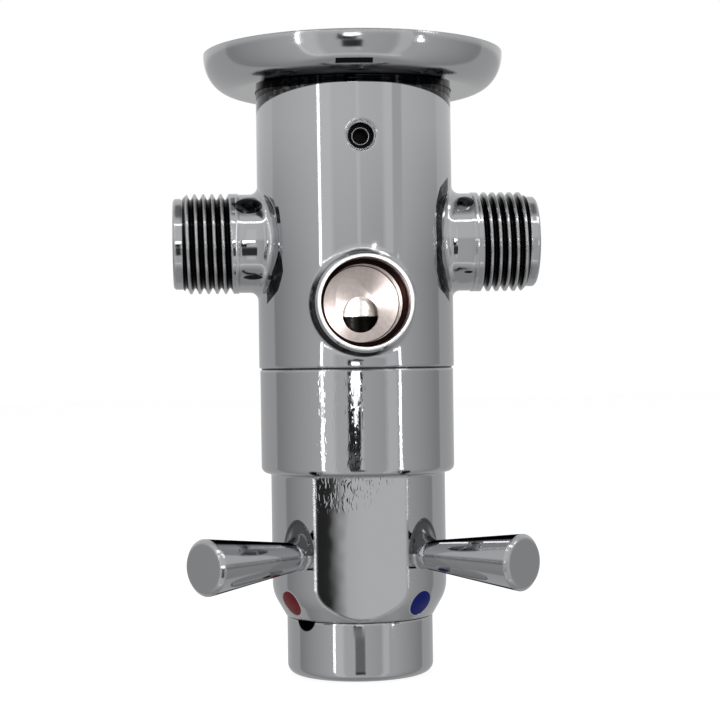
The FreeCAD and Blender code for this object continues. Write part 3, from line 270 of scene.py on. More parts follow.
def inlet_roots(tree, at):
    """Painted dark reflections: crescents round the inlets. Their middle line bends outwards above and below
    an inlet's axis.

    On the right they are wide from their start. The lower left one widens slowly, and the upper
    left one is short and thin.
    """
    off_axis = add(tree, "Math", [at.over_inlet], operation="ABSOLUTE")
    past_start = add(tree, "Math", [off_axis, 2.5 * MM], operation="SUBTRACT")
    bend = add(tree, "Math", [past_start, 2.0], operation="POWER")
    middle = add(tree, "Math", [bend, 23.2, 16.4 * MM], operation="MULTIPLY_ADD")
    off_line = add(tree, "Math", [add(tree, "Math", [at.out, middle], operation="SUBTRACT")],
                   operation="ABSOLUTE")

    on_right = add(tree, "Math", [at.x, 0.0], operation="GREATER_THAN")
    widening = add(tree, "MapRange", {"Value": off_axis, "From Min": 2.2 * MM, "From Max": 6.5 * MM})
    tail = add(tree, "MapRange", {"Value": off_axis, "From Min": 13.0 * MM, "From Max": 10.4 * MM})
    left_width = add(tree, "Math", [widening, 0.95 * MM, 0.12 * MM], operation="MULTIPLY_ADD")
    right_width = add(tree, "Math", [on_right, 0.7 * MM], operation="MULTIPLY")
    width = add(tree, "Math", [left_width, right_width], operation="MAXIMUM")
    half_width = add(tree, "Math", [width, tail], operation="MULTIPLY")
    beyond_start = add(tree, "MapRange", {"Value": off_axis, "From Min": 2.3 * MM, "From Max": 2.5 * MM})
    crescent = all_of(tree, add(tree, "Math", [off_line, half_width], operation="LESS_THAN"),
                      any_of(tree, beyond_start, on_right), at.in_front)

    short = all_of(
        tree, crescent,
        add(tree, "MapRange", {"Value": off_axis, "From Min": 3.2 * MM, "From Max": 3.4 * MM}),
        add(tree, "MapRange", {"Value": off_axis, "From Min": 6.9 * MM, "From Max": 6.6 * MM}),
        add(tree, "Math", [off_line, SHORT_MARK], operation="LESS_THAN"))
    upper_left = all_of(tree, add(tree, "Math", [at.over_inlet, 0.0], operation="GREATER_THAN"),
                        add(tree, "Math", [at.x, 0.0], operation="LESS_THAN"))
    crescent = add(tree, "Mix", {"Factor": upper_left, "A": crescent, "B": short}, data_type="FLOAT")
    return all_of(tree, crescent, add(tree, "Math", [at.from_inlet, 10.7 * MM], operation="GREATER_THAN"))


def shank_ovals(tree, at):
    # Painted dark reflections: narrow ovals on the inlet shanks.
    ovals = []
    for middle_x, middle_z, half_x, half_z in SHANK_OVALS:
        across = add(tree, "Math", [at.x, middle_x * MM], operation="SUBTRACT")
        across = add(tree, "Math", [across, half_x * MM], operation="DIVIDE")
        down = add(tree, "Math", [at.over_inlet, middle_z * MM], operation="SUBTRACT")
        down = add(tree, "Math", [down, half_z * MM], operation="DIVIDE")
        ovals.append(add(tree, "Math", [radius_from(tree, across, down), 1.0], operation="LESS_THAN"))
    on_shank = add(tree, "Math", [at.from_inlet, SHANK_RADIUS], operation="LESS_THAN")
    return all_of(tree, any_of(tree, *ovals), on_shank, at.in_front)


def boss_root(tree, at):
    """A painted dark reflection: a ring round the outlet's boss, fading in from its middle to its lower
    left.
    """
    inner = add(tree, "MapRange", {"Value": at.from_outlet, "From Min": 9.92 * MM, "From Max": 9.97 * MM})
    outer = add(tree, "MapRange", {"Value": at.from_outlet, "From Min": 10.9 * MM, "From Max": 10.6 * MM})
    off_root = add(tree, "Math", [add(tree, "Math", [at.y, 19.2 * MM], operation="ADD")],
                   operation="ABSOLUTE")
    at_root = add(tree, "Math", [off_root, 5.0 * MM], operation="LESS_THAN")
    rise = add(tree, "Math", [at.over_outlet, 0.66], operation="MULTIPLY")
    upper_right = add(tree, "Math", [at.x, 0.75, rise], operation="MULTIPLY_ADD")
    lower_left = add(tree, "MapRange", {"Value": upper_right, "From Min": -1.0 * MM, "From Max": -5.0 * MM})
    return all_of(tree, inner, outer, at_root, lower_left)


def under_flange(tree, at):
    """A painted dark reflection of the flange's dip: a band under the flange. Its lower edge sinks from the
    front to the sides and closes behind.
    """
    behind_front = add(tree, "Math", [at.y, 20.5 * MM], operation="ADD")
    before_end = add(tree, "Math", [8.0 * MM, at.y], operation="SUBTRACT")
    sinking = add(tree, "Math", [behind_front, -0.21], operation="MULTIPLY")
    closing = add(tree, "Math", [before_end, -0.5], operation="MULTIPLY")
    edge = add(tree, "Math", [sinking, closing], operation="MAXIMUM")
    edge = add(tree, "Math", [edge, -8.5 * MM], operation="ADD")
    over_edge = add(tree, "Math", [at.z, edge], operation="SUBTRACT")
    band = add(tree, "MapRange", {"Value": over_edge, "From Min": -0.1 * MM, "From Max": 0.1 * MM})
    return all_of(tree, band, add(tree, "Math", [at.y, 8.0 * MM], operation="LESS_THAN"))


def screw_hole(tree, at):
    # Painted shade round the grub screw's hole.
    from_screw = radius_from(tree, at.x, add(tree, "Math", [at.z, SCREW_DEPTH], operation="ADD"))
    near = add(tree, "MapRange", {"Value": from_screw, "From Min": 2.72 * MM, "From Max": 2.6 * MM})
    return all_of(tree, near, add(tree, "Math", [at.y, -10.0 * MM], operation="LESS_THAN"))


# %% [markdown]
# ## The valve body: one material of it all
# Painted dark reflections and shade are broken up by a noise, so that their darkness changes from
# place to place. The inlet shanks get a bulge that fades out at both ends, as a polishing wheel leaves
# between a thread and a column.

# %% Chrome with bored brass
DARK_BREAKUP_GRAIN = 1.6 * MM
SHANK_MIDDLE = 22.0 * MM
SHANK_HALF = 3.2 * MM
SHANK_START = 18.8 * MM
SHANK_FALL = -0.38


def shank_bulge(tree, at, buffed):
    """A bump on the shanks, whose height falls with the fourth power towards both ends."""
    off_middle = add(tree, "Math", [at.out, SHANK_MIDDLE], operation="SUBTRACT")
    share = add(tree, "Math", [off_middle, SHANK_HALF], operation="DIVIDE")
    square = add(tree, "Math", [share, share], operation="MULTIPLY")
    square = add(tree, "Math", [square, 1.0], operation="MINIMUM")
    on_shank = all_of(tree, add(tree, "Math", [at.out, SHANK_START], operation="GREATER_THAN"),
                      add(tree, "Math", [at.from_inlet, SHANK_RADIUS], operation="LESS_THAN"))
    fall = add(tree, "Math", [square, square], operation="MULTIPLY")
    height = all_of(tree, fall, SHANK_FALL, on_shank)
    return add(tree, "Bump", {"Height": height, "Strength": 1.0, "Distance": MM, "Normal": buffed})


def bored_casting(name):
    material = chrome_plate(name)
    tree = material.node_tree
    shader = tree.nodes["Principled BSDF"]
    at = body_measures(tree)
    rim = outlet_rim(tree, at)
    dark_breakup = add(tree, "TexNoise", {"Vector": at.place, "Scale": 1 / DARK_BREAKUP_GRAIN, "Detail": 4.0})
    dark_strength = add(tree, "MapRange", {"Value": dark_breakup, "From Min": 0.3, "From Max": 0.5, "To Min": 0.7,
                                       "To Max": 0.96})
    marks = any_of(tree, inlet_roots(tree, at), boss_root(tree, at), shank_ovals(tree, at),
                   under_flange(tree, at), screw_hole(tree, at))
    # Painted light on the plate: the thread valleys get painted shade, the rim a painted highlight, and the
    # marks painted dark reflections and painted shade.
    plate = colour(PLATE_GREY)
    for mask, shade in ((thread_valleys(tree, at), "161514"), (rim, "FAFAFA"),
                        (all_of(tree, marks, dark_strength), "121110")):
        plate = add(tree, "Mix", {"Factor": mask, "A": plate, "B": colour(shade)}, data_type="RGBA")
    polished = shader.inputs["Roughness"].links[0].from_socket
    rough = add(tree, "Mix", {"Factor": rim, "A": polished, "B": 0.42}, data_type="FLOAT")
    fill(tree, shader, {"Base Color": plate, "Roughness": rough})
    fill(tree, tree.nodes["Bump"], {"Normal": shank_bulge(tree, at, tree.nodes["Bevel"])})
    in_outlet, bare = bare_places(tree, at)
    both = add(tree, "MixShader", [bare, shader, bored_brass(tree, at, in_outlet)])
    fill(tree, tree.nodes["Material Output"], {"Surface": both})
    return material


BODY = bored_casting("polished_chrome_with_bored_brass_and_painted_light")
print("made", BODY.name, "of", len(BODY.node_tree.nodes), "nodes")

# %% [markdown]
# ## The flange, the arms and the knob
# The flange is pressed, so its chrome is a little softer than the column's, and its underside carries
# a painted dark reflection where it dips towards the column and in a slot at its front edge. The arms
# carry painted dark reflections on their tops and bottoms. The knob has painted shade round its screw hole,
# where the thread starts.

# %% Chrome with painted shade and dark reflections
PRESSED_HAZE = 0.09
DIP_SHARE = 0.80
SLOT_SHARE = 0.98
KNOB_SCREW_BEARING = math.radians(51)
KNOB_SCREW_DEPTH = 117 * MM


def shaded_chrome(name, haze, find_dark, shade):
    """Chrome whose colour falls to a dark shade where find_dark(tree, at) gives 1: painted shade and painted
    dark reflections.

    The specular tint falls with it, because dark metal would else turn bright at a glancing angle.
    """
    material = chrome_plate(name, haze=haze)
    tree = material.node_tree
    dark = find_dark(tree, measures(tree))
    for socket, clean in (("Base Color", PLATE_GREY), ("Specular Tint", "FFFFFF")):
        tint = add(tree, "Mix", {"Factor": dark, "A": colour(clean), "B": colour(shade)}, data_type="RGBA")
        fill(tree, tree.nodes["Principled BSDF"], {socket: tint})
    return material


def dip_and_slot(tree, at):
    # Painted dark reflections on the flange's underside: the dip towards the column and the slot at its
    # front edge.
    from_axis = radius_from(tree, at.x, at.y)
    front = add(tree, "Math", [at.y, -3.0 * MM], operation="LESS_THAN")
    low = add(tree, "Math", [at.z, -6.0 * MM], operation="LESS_THAN")
    near = add(tree, "MapRange", {"Value": from_axis, "From Min": 28.9 * MM, "From Max": 28.3 * MM})
    off_dip = add(tree, "Math", [add(tree, "Math", [at.x, 1.4 * MM], operation="ADD")],
                  operation="ABSOLUTE")
    ahead = add(tree, "MapRange", {"Value": off_dip, "From Min": 18.6 * MM, "From Max": 17.6 * MM})
    dip = all_of(tree, near, ahead, front, low, DIP_SHARE)
    off_slot = add(tree, "Math", [at.x, 1.85 * MM], operation="ADD")
    in_length = add(tree, "Math", [off_slot, 0.0, 3.65 * MM], operation="COMPARE")
    in_width = add(tree, "Math", [from_axis, 29.3 * MM, 0.42 * MM], operation="COMPARE")
    slot = all_of(tree, in_length, in_width, front, SLOT_SHARE)
    return any_of(tree, dip, slot)


def above_and_below(tree, at):
    # Painted dark reflections where the surface faces steeply up or down.
    slope = add(tree, "SeparateXYZ", [add(tree, "NewGeometry").outputs["Normal"]])
    steep = add(tree, "Math", [slope.outputs["Z"]], operation="ABSOLUTE")
    return add(tree, "MapRange", {"Value": steep, "From Min": 0.80, "From Max": 0.88})


def round_the_screw(tree, at):
    # Painted shade round the knob's screw hole.
    across = add(tree, "Math", [at.x, math.cos(KNOB_SCREW_BEARING)], operation="MULTIPLY")
    back = add(tree, "Math", [at.y, math.sin(KNOB_SCREW_BEARING)], operation="MULTIPLY")
    aside = add(tree, "Math", [across, back], operation="SUBTRACT")
    over_screw = add(tree, "Math", [at.z, KNOB_SCREW_DEPTH], operation="ADD")
    return add(tree, "MapRange", {"Value": radius_from(tree, aside, over_screw), "From Min": 2.85 * MM,
                                  "From Max": 2.65 * MM})


FLANGE = shaded_chrome("pressed_chrome_flange_with_painted_dark_reflection", PRESSED_HAZE, dip_and_slot, "101011")
ARM = shaded_chrome("polished_chrome_with_painted_dark_reflections", POLISHED_HAZE, above_and_below, "161617")
KNOB = shaded_chrome("polished_chrome_with_painted_screw_shade", POLISHED_HAZE, round_the_screw, "0C0C0D")
print("made", FLANGE.name, ARM.name, KNOB.name)

# %% [markdown]
# ## The lever barrel: ripples under the ledge
# The flat is milled up to a ledge, where the polishing wheel can't reach. Short upright chatter
# marks stay there, strongest at the top left corner. Real ones are about 0.3 mm apart. They are
# drawn at 0.55 mm, so that they show.

# %% Chrome with chatter marks
LEDGE = -90 * MM
CHATTER_END = -95.5 * MM
FLAT_FACE = -15.0 * MM
CHATTER_GRAIN = (0.55 * MM, 2 * MM, 1.7 * MM)
CHATTER_HEIGHT = 0.008 * MM


def chattered_chrome(name):
    material = chrome_plate(name)
    tree = material.node_tree
    at = measures(tree)
    near_ledge = add(tree, "MapRange", {"Value": at.z, "From Min": CHATTER_END, "From Max": LEDGE})
    near_left = add(tree, "MapRange", {"Value": at.x, "From Min": 12 * MM, "From Max": -10 * MM,
                                       "To Min": 0.05})
    on_flat = add(tree, "Math", [at.y, FLAT_FACE], operation="LESS_THAN")
    squeezed = add(tree, "Mapping", {"Vector": at.place, "Scale": [1 / size for size in CHATTER_GRAIN]})
    noise = add(tree, "TexNoise", {"Vector": squeezed, "Scale": 1.0, "Detail": 1.0})
    ticks = add(tree, "MapRange", {"Value": noise, "From Min": 0.52, "From Max": 0.72})
    marks = add(tree, "Bump", {"Height": all_of(tree, near_ledge, near_left, on_flat, ticks),
                               "Strength": 1.0, "Distance": CHATTER_HEIGHT, "Normal": tree.nodes["Bevel"]})
    fill(tree, tree.nodes["Bump"], {"Normal": marks})
    return material


BARREL = chattered_chrome("polished_chrome_with_chatter_marks")
print("made", BARREL.name)

# %% [markdown]
# ## The metals inside
# Turned brass, drawn spring steel, drawn copper and blackened screws all scatter light along the
# cut of the tool. A fine noise, stretched round the piece, breaks up the highlight as those lines
# do. The flow tube's drum is plated bright, and below a line it carries painted shade, near black.

# %% Turned, drawn and blackened metals
LINE_STRETCH = (0.15, 0.15, 1.0)
LINE_HEIGHT = 0.02 * MM
DRUM_SHADE_LINE = (-55.2 * MM, -55.35 * MM)


def cut_metal(name, hex_code, roughness, line):
    """A metal with the lines of a tool, which are a given width in millimetres."""
    material, tree, shader, place = new_material(name)
    stretched = add(tree, "Mapping", {"Vector": place, "Scale": LINE_STRETCH})
    noise = add(tree, "TexNoise", {"Vector": stretched, "Scale": 1 / (line * MM), "Detail": 4.0})
    bright = colour(hex_code)
    dull = (*(c * 0.8 for c in bright[:3]), 1.0)
    tint = add(tree, "Mix", {"Factor": noise, "A": bright, "B": dull}, data_type="RGBA")
    rough = add(tree, "MapRange", {"Value": noise, "To Min": roughness * 0.7, "To Max": roughness * 1.3})
    bump = add(tree, "Bump", {"Height": noise, "Strength": 0.5, "Distance": LINE_HEIGHT})
    fill(tree, shader, {"Base Color": tint, "Metallic": 1.0, "Roughness": rough, "Normal": bump})
    return material


def drum_metal(name):
    material = cut_metal(name, "F2F0EC", 0.18, 0.5)
    tree = material.node_tree
    shader = tree.nodes["Principled BSDF"]
    # Painted shade: below this line the drum is coloured near black.
    shade_below = add(tree, "MapRange", {"Value": measures(tree).z, "From Min": DRUM_SHADE_LINE[0], "From Max": DRUM_SHADE_LINE[1]})
    plated = shader.inputs["Base Color"].links[0].from_socket
    tint = add(tree, "Mix", {"Factor": shade_below, "A": plated, "B": colour("0B0A09")}, data_type="RGBA")
    fill(tree, shader, {"Base Color": tint})
    return material


TURNED_BRASS = cut_metal("turned_brass", "D9B98A", 0.3, 0.5)
SPRING_STEEL = cut_metal("drawn_spring_steel", "C2C3C5", 0.25, 0.3)
BLACK_STEEL = cut_metal("blackened_screw_steel", "161617", 0.35, 0.3)
CAPSULE_COPPER = cut_metal("drawn_copper", "D69A78", 0.28, 0.4)
DRUM = drum_metal("bright_drum_with_painted_shade_below")
print("made", TURNED_BRASS.name, SPRING_STEEL.name, BLACK_STEEL.name, CAPSULE_COPPER.name, DRUM.name)

# %% [markdown]
# ## Rubber, acetal and enamel
# Sealing rings are matt black nitrile rubber with a fine moulded grain. The check valves, bearing
# rings and shuttle are white acetal, waxy and half glossy. The dots are coloured enamel, filled
# wet and fired. It is a deep colour that hardly mirrors the room, so the dots stay saturated.

# %% Soft and coloured finishes
GRAIN_HEIGHT = 0.015 * MM


def grained(name, hex_code, roughness, grain):
    """An even colour with a grain of a given width in millimetres."""
    material, tree, shader, place = new_material(name)
    noise = add(tree, "TexNoise", {"Vector": place, "Scale": 1 / (grain * MM), "Detail": 5.0})
    plain = colour(hex_code)
    deep = (*(c * 0.82 for c in plain[:3]), 1.0)
    tint = add(tree, "Mix", {"Factor": noise, "A": plain, "B": deep}, data_type="RGBA")
    rough = add(tree, "MapRange", {"Value": noise, "To Min": roughness * 0.85, "To Max": roughness * 1.15})
    bump = add(tree, "Bump", {"Height": noise, "Strength": 0.4, "Distance": GRAIN_HEIGHT})
    fill(tree, shader, {"Base Color": tint, "Roughness": rough, "Normal": bump})
    return material


RUBBER = grained("black_nitrile_rubber", "1C1C1D", 0.7, 0.3)
ACETAL = grained("white_acetal", "E8E7E1", 0.38, 0.6)
RED_ENAMEL = grained("red_fired_enamel", "640A10", 0.3, 0.9)
BLUE_ENAMEL = grained("blue_fired_enamel", "00105C", 0.3, 0.9)
for enamel in (RED_ENAMEL, BLUE_ENAMEL):
    fill(enamel.node_tree, enamel.node_tree.nodes["Principled BSDF"],
         {"Coat Weight": 0.03, "Coat Roughness": 0.05, "Specular IOR Level": 0.1})
print("made", RUBBER.name, ACETAL.name, RED_ENAMEL.name, BLUE_ENAMEL.name)

# %% [markdown]
# ## Every node gets its finish
# The record names a material slot for each sub-part, so one table dresses most of them. A second
# one holds the nodes whose finish has marks of its own.

# %% Dress the CAD nodes
SLOT_FINISHES = {
    "chrome_plate": CHROME,
    "bare_brass": TURNED_BRASS,
    "bright_steel": SPRING_STEEL,
    "black_steel": BLACK_STEEL,
    "black_rubber": RUBBER,
    "white_acetal": ACETAL,
    "copper_capsule": CAPSULE_COPPER,
    "red_enamel": RED_ENAMEL,
    "blue_enamel": BLUE_ENAMEL,
}
OWN_FINISHES = {
    "valve_body": BODY,
    "flow_tube": DRUM,
    "lever_barrel": BARREL,
    "wall_flange": FLANGE,
    "end_knob": KNOB,
    "lever_arm_left": ARM,
    "lever_arm_right": ARM,
}
for part in frame["record"]["subparts"]:
    finishes = nodes[part["node"]].data.materials
    finishes.clear()
    finishes.append(OWN_FINISHES.get(part["node"], SLOT_FINISHES[part["material_slot"]]))
print("dressed", len(nodes), "nodes")

# %% [markdown]
# ## Small pieces that the solids leave out
# Three kinds of small pieces are modelled here by hand. A thin black washer fills the seam
# between the body and the lever barrel, so the seam reads as one black line: painted shade in the
# gap. A flare runs from the top of each arm up into the barrel. A bright ring is the turned mouth of
# the grub screw. Each starts as a primitive and keeps its place in its own mesh, with the object at the
# origin.

# %% A black washer in the seam, as painted shade
SEAM_DEPTH = 65.98 * MM
WASHER_BORE = 18.2 * MM
WASHER_RIM = 20.0 * MM
WASHER_THICKNESS = 0.16 * MM


def fresh():
    """Start the next piece with nothing selected."""
    bpy.ops.object.select_all(action="DESELECT")


def settle(piece, body, finish, angle=35):
    """Bake a piece's place into its mesh, shade it, dress it and hang it on its body."""
    bpy.ops.object.mode_set(mode="OBJECT")
    bpy.ops.object.transform_apply(location=True, rotation=True, scale=True)
    bpy.ops.object.shade_smooth_by_angle(angle=math.radians(angle))
    piece.data.materials.append(finish)
    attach(piece, body)


fresh()
# Painted shade: a black rubber washer stands in for the shade in the seam's gap.
bpy.ops.mesh.primitive_circle_add(vertices=160, radius=WASHER_BORE, location=(0, 0, -SEAM_DEPTH))
washer = bpy.context.object
washer.name = "seam_shade_washer"
bpy.ops.object.mode_set(mode="EDIT")
bpy.ops.mesh.select_all(action="SELECT")
bpy.ops.mesh.extrude_region_move()
bpy.ops.transform.resize(value=(WASHER_RIM / WASHER_BORE, WASHER_RIM / WASHER_BORE, 1))
bpy.ops.mesh.select_all(action="SELECT")
bpy.ops.mesh.extrude_region_move(TRANSFORM_OT_translate={"value": (0, 0, WASHER_THICKNESS)})
bpy.ops.mesh.select_all(action="SELECT")
bpy.ops.mesh.normals_make_consistent(inside=False)
settle(washer, "housing", RUBBER)
print("seam washer:", len(washer.data.polygons), "faces")

# %% [markdown]
# ## Flares over the arms
# The photo shows a hollow curve from the top of each arm's root up to the barrel, and none below.
# A disc is extruded towards the barrel in ten steps, each a little wider, which draws a hollow
# quarter circle of 4.5 mm. It is then squeezed sideways and cut in half, so only the top stays.

# %% A flare for each arm
LEVER_LEAN = 2.45
ARM_BEARING = 45
ARM_DEPTH = 104.1 * MM
FLARE_START = 22.8
FLARE_END = 16.6
FLARE_TIP = 3.0
FLARE_HOLLOW = 4.5
FLARE_STEPS = 10
FLARE_SQUEEZE = 0.55
FLARE_CUT = 0.4 * MM


def arm_flare(side, from_front):
    """One flare, first along Z in millimetres and then turned to its arm, in degrees from the front."""
    fresh()
    bpy.ops.mesh.primitive_circle_add(vertices=64, radius=FLARE_TIP * MM, fill_type="NGON",
                                      location=(0, 0, FLARE_START * MM))
    flare = bpy.context.object
    flare.name = f"arm_flare_{side}"
    bpy.ops.object.mode_set(mode="EDIT")
    bpy.ops.mesh.select_all(action="SELECT")
    reach, radius = FLARE_START, FLARE_TIP
    for step in range(1, FLARE_STEPS + 1):
        turn = math.radians(90 / FLARE_STEPS * step)
        next_reach = FLARE_START - FLARE_HOLLOW * math.sin(turn)
        next_radius = FLARE_TIP + FLARE_HOLLOW - FLARE_HOLLOW * math.cos(turn)
        bpy.ops.mesh.extrude_region_move(TRANSFORM_OT_translate={"value": (0, 0, (next_reach - reach) * MM)})
        bpy.ops.transform.resize(value=(next_radius / radius, next_radius / radius, 1))
        reach, radius = next_reach, next_radius
    bpy.ops.mesh.extrude_region_move(TRANSFORM_OT_translate={"value": (0, 0, (FLARE_END - reach) * MM)})
    bpy.ops.mesh.select_all(action="SELECT")
    bpy.ops.mesh.normals_make_consistent(inside=False)
    bpy.ops.transform.resize(value=(FLARE_SQUEEZE, 1, 1))
    bpy.ops.mesh.select_all(action="SELECT")
    bpy.ops.mesh.bisect(plane_co=(0, FLARE_CUT, 0), plane_no=(0, 1, 0), clear_inner=True, use_fill=True)
    bpy.ops.object.mode_set(mode="OBJECT")
    bpy.ops.object.transform_apply(location=True)
    angle = math.radians(from_front)
    along = Vector((math.sin(angle), -math.cos(angle), 0))
    up = Vector((0, 0, 1))
    turn_in = Matrix((up.cross(along), up, along)).transposed().to_4x4()
    flare.data.transform(Matrix.Translation((0, 0, -ARM_DEPTH)) @ turn_in)
    settle(flare, "lever", SHADED_CHROME, 40)
    return flare


for side, from_front in (("left", -LEVER_LEAN - ARM_BEARING), ("right", -LEVER_LEAN + ARM_BEARING)):
    flare = arm_flare(side, from_front)
    print(flare.name, len(flare.data.vertices), "vertices")

# %% A bright ring on the grub screw's mouth
SCREW_FACE = 18.05 * MM
RING_RADIUS = 1.72 * MM
RING_WIRE = 0.13 * MM

fresh()
bpy.ops.mesh.primitive_torus_add(major_radius=RING_RADIUS, minor_radius=RING_WIRE, major_segments=72,
                                 minor_segments=12, location=(0, -SCREW_FACE, -SCREW_DEPTH),
                                 rotation=(math.radians(90), 0, 0))
screw_ring = bpy.context.object
screw_ring.name = "grub_screw_ring"
settle(screw_ring, "housing", SPRING_STEEL, 60)
print("grub screw ring:", len(screw_ring.data.vertices), "vertices")

# %% [markdown]
# ## The studio
# Chrome shows its surroundings, so the photographer's room is part of the picture. The valve hung
# in a plain grey room in front of one large pale panel with a white frame, with a black stand and
# a small flash before its middle. The ceiling was dark grey and the floor a middle grey. A big dome
# that only mirror rays can see carries that room as a simple drawing: angles round the valve and
# above the horizon pick wall, panel, frame, stand, flash or ceiling.

# %% What the room is drawn from
CAMERA_PLACE = Vector((-28.23, -375.42, -64.98)) * MM
CAMERA_YAW = math.radians(-4.412)
CAMERA_PITCH = math.radians(0.115)
CAMERA_ROLL = math.radians(-0.779)
CAMERA_LENS = 89.18
VALVE_MIDDLE = Vector((0, 0, -65 * MM))
DOME_RADIUS = 2.0
DEGREES = 180 / math.pi
PANEL = (-41, 52, -52, 47, 10)
# Each patch: its left, right, low and high edge, its corner and the softness of its edge, all in
# degrees, and then its light.
PALE_STRIPES = ((-41, -26, -52, 47, 2, 2.5, 0.84), (35, 49, -52, 47, 2, 2.5, 0.76),
                (3, 7, -40, 30, 1, 1.0, 0.80))
BRIGHT_STRIP = ((50.6, 54.6, -9.3, -4.0, 0.3, 0.3, 7.0),)
CURTAIN = ((46, 58, 3.5, 43, 1, 0.6, 0.62), (46, 58, -48, -9.3, 0.3, 0.6, 0.62))
STAND = ((-10.4, 6.5, -1.2, 3.7, 0.3, 0.3, 0.03), (-10.4, 4.4, -3.6, -1.2, 0.3, 0.3, 0.03),
         (-10.4, 3.0, -10.0, -3.6, 0.3, 0.3, 0.03), (-7.8, 7.5, -12.8, -10.0, 0.3, 0.3, 0.22),
         (-8.0, 8.0, -31, -12.8, 0.3, 0.3, 0.05))
SIDE_LAMP = ((60, 76, 34, 50, 4, 2.0, 6.0),)
FLASH = ((-6, 6, 0.6, 3.4, 1.2, 0.4, 7.0), (-6, 3.4, -1.1, -0.3, 0.3, 0.3, 7.0),
         (-3.2, 0.2, -2.1, -0.8, 0.3, 0.4, 4.0))


def cleared_material(name):
    """A material with an empty node tree."""
    material = bpy.data.materials.new(name)
    material.use_nodes = True
    material.node_tree.nodes.clear()
    return material, material.node_tree


def dome_angles(tree):
    """Angles in radians: round the valve from the camera's side, and above the horizon."""
    place = add(tree, "TexCoord").outputs["Object"]
    from_middle = add(tree, "VectorMath", [place, -VALVE_MIDDLE], operation="ADD")
    turned = add(tree, "VectorRotate", {"Vector": from_middle, "Angle": -CAMERA_YAW},
                 rotation_type="Z_AXIS")
    spot = add(tree, "SeparateXYZ", [turned])
    x, y, z = (spot.outputs[axis] for axis in "XYZ")
    towards = add(tree, "Math", [y, -1.0], operation="MULTIPLY")
    bearing = add(tree, "Math", [x, towards], operation="ARCTAN2")
    rise = add(tree, "Math", [z, radius_from(tree, x, y)], operation="ARCTAN2")
    return bearing, rise


def panel_distance(tree, angles, left, right, low, high, corner):
    """Signed distance in degrees from a rounded rectangle of angles, negative inside."""
    past = []
    for angle, start, stop in zip(angles, (left, low), (right, high)):
        degrees = add(tree, "Math", [angle, DEGREES, -(start + stop) / 2], operation="MULTIPLY_ADD")
        size = add(tree, "Math", [degrees], operation="ABSOLUTE")
        past.append(add(tree, "Math", [size, (stop - start) / 2 - corner], operation="SUBTRACT"))
    positive = [add(tree, "Math", [share, 0.0], operation="MAXIMUM") for share in past]
    outside = radius_from(tree, *positive)
    larger = add(tree, "Math", past, operation="MAXIMUM")
    inside = add(tree, "Math", [larger, 0.0], operation="MINIMUM")
    whole = add(tree, "Math", [outside, inside], operation="ADD")
    return add(tree, "Math", [whole, corner], operation="SUBTRACT")


# %% The reflected room
def reflected_room():
    """The drawing on the dome: a grey wall, and layers over it that are each a mask and its light."""
    material, tree = cleared_material("reflected_room")
    bearing, rise = dome_angles(tree)
    height = add(tree, "Math", [rise, DEGREES], operation="MULTIPLY")
    sideways = add(tree, "Math", [bearing, DEGREES, -2.0], operation="MULTIPLY_ADD")
    aside = add(tree, "Math", [sideways], operation="ABSOLUTE")

    def patches(rows):
        """A layer for each row of numbers."""
        layers = []
        for *edges, soft, shade in rows:
            edge = panel_distance(tree, (bearing, rise), *edges)
            mask = add(tree, "MapRange", {"Value": edge, "From Min": soft, "From Max": -soft})
            layers.append((mask, shade))
        return layers

    behind = add(tree, "MapRange", {"Value": aside, "From Min": 111.5, "From Max": 113})
    off_panel = panel_distance(tree, (bearing, rise), *PANEL)
    on_panel = add(tree, "MapRange", {"Value": off_panel, "From Min": 0.6, "From Max": -0.6})
    panel_light = add(tree, "MapRange", {"Value": sideways, "From Min": -10, "From Max": 30,
                                         "To Min": 0.66, "To Max": 0.55})
    upper_half = add(tree, "MapRange", {"Value": height, "From Min": 3.5, "From Max": 9, "To Max": 0.55})
    off_frame = add(tree, "Math", [off_panel], operation="ABSOLUTE")
    on_frame = add(tree, "MapRange", {"Value": off_frame, "From Min": 0.8 + 0.5, "From Max": 0.8 - 0.5})
    frame_light = add(tree, "MapRange", {"Value": height, "From Min": -10.5, "From Max": -17,
                                         "To Min": 7.0, "To Max": 1.3})
    ceiling = add(tree, "MapRange", {"Value": height, "From Min": 60, "From Max": 72})
    ground = add(tree, "MapRange", {"Value": height, "From Min": -56, "From Max": -66})

    light = add(tree, "MapRange", {"Value": aside, "From Min": 50, "From Max": 105, "To Min": 0.64,
                                   "To Max": 0.37})
    layers = [(behind, 0.53), (on_panel, panel_light)] + patches(PALE_STRIPES)
    layers += [(upper_half, 0.92), (on_frame, frame_light)] + patches(BRIGHT_STRIP + CURTAIN + STAND)
    layers += [(ceiling, 0.22), (ground, 0.40)] + patches(SIDE_LAMP + FLASH)
    for mask, shade in layers:
        light = add(tree, "Mix", {"Factor": mask, "A": light, "B": shade}, data_type="FLOAT")
    add(tree, "OutputMaterial", {"Surface": add(tree, "Emission", {"Strength": light})})
    return material


fresh()
bpy.ops.mesh.primitive_uv_sphere_add(segments=96, ring_count=48, radius=DOME_RADIUS, location=VALVE_MIDDLE)
room = bpy.context.object
room.name = "studio_room"
room.data.transform(Matrix.Translation(room.location))
room.location = (0, 0, 0)
room.data.materials.append(reflected_room())
for ray in ("camera", "diffuse", "transmission", "volume_scatter", "shadow"):
    setattr(room, "visible_" + ray, False)
print("room drawn with", len(room.data.materials[0].node_tree.nodes), "nodes")

# %% [markdown]
# ## Floor, backdrop and lamps
# The valve hangs just above a white sweep. The sweep's material adds some of its own light for what
# the camera sees, so that the paper stays white while the shadow of the valve still falls on it.
# The world is white too, and a little darker for what it lights than for what is seen of it. Three
# soft lamps stand round the valve, and two narrow beams light the floor of the outlet.

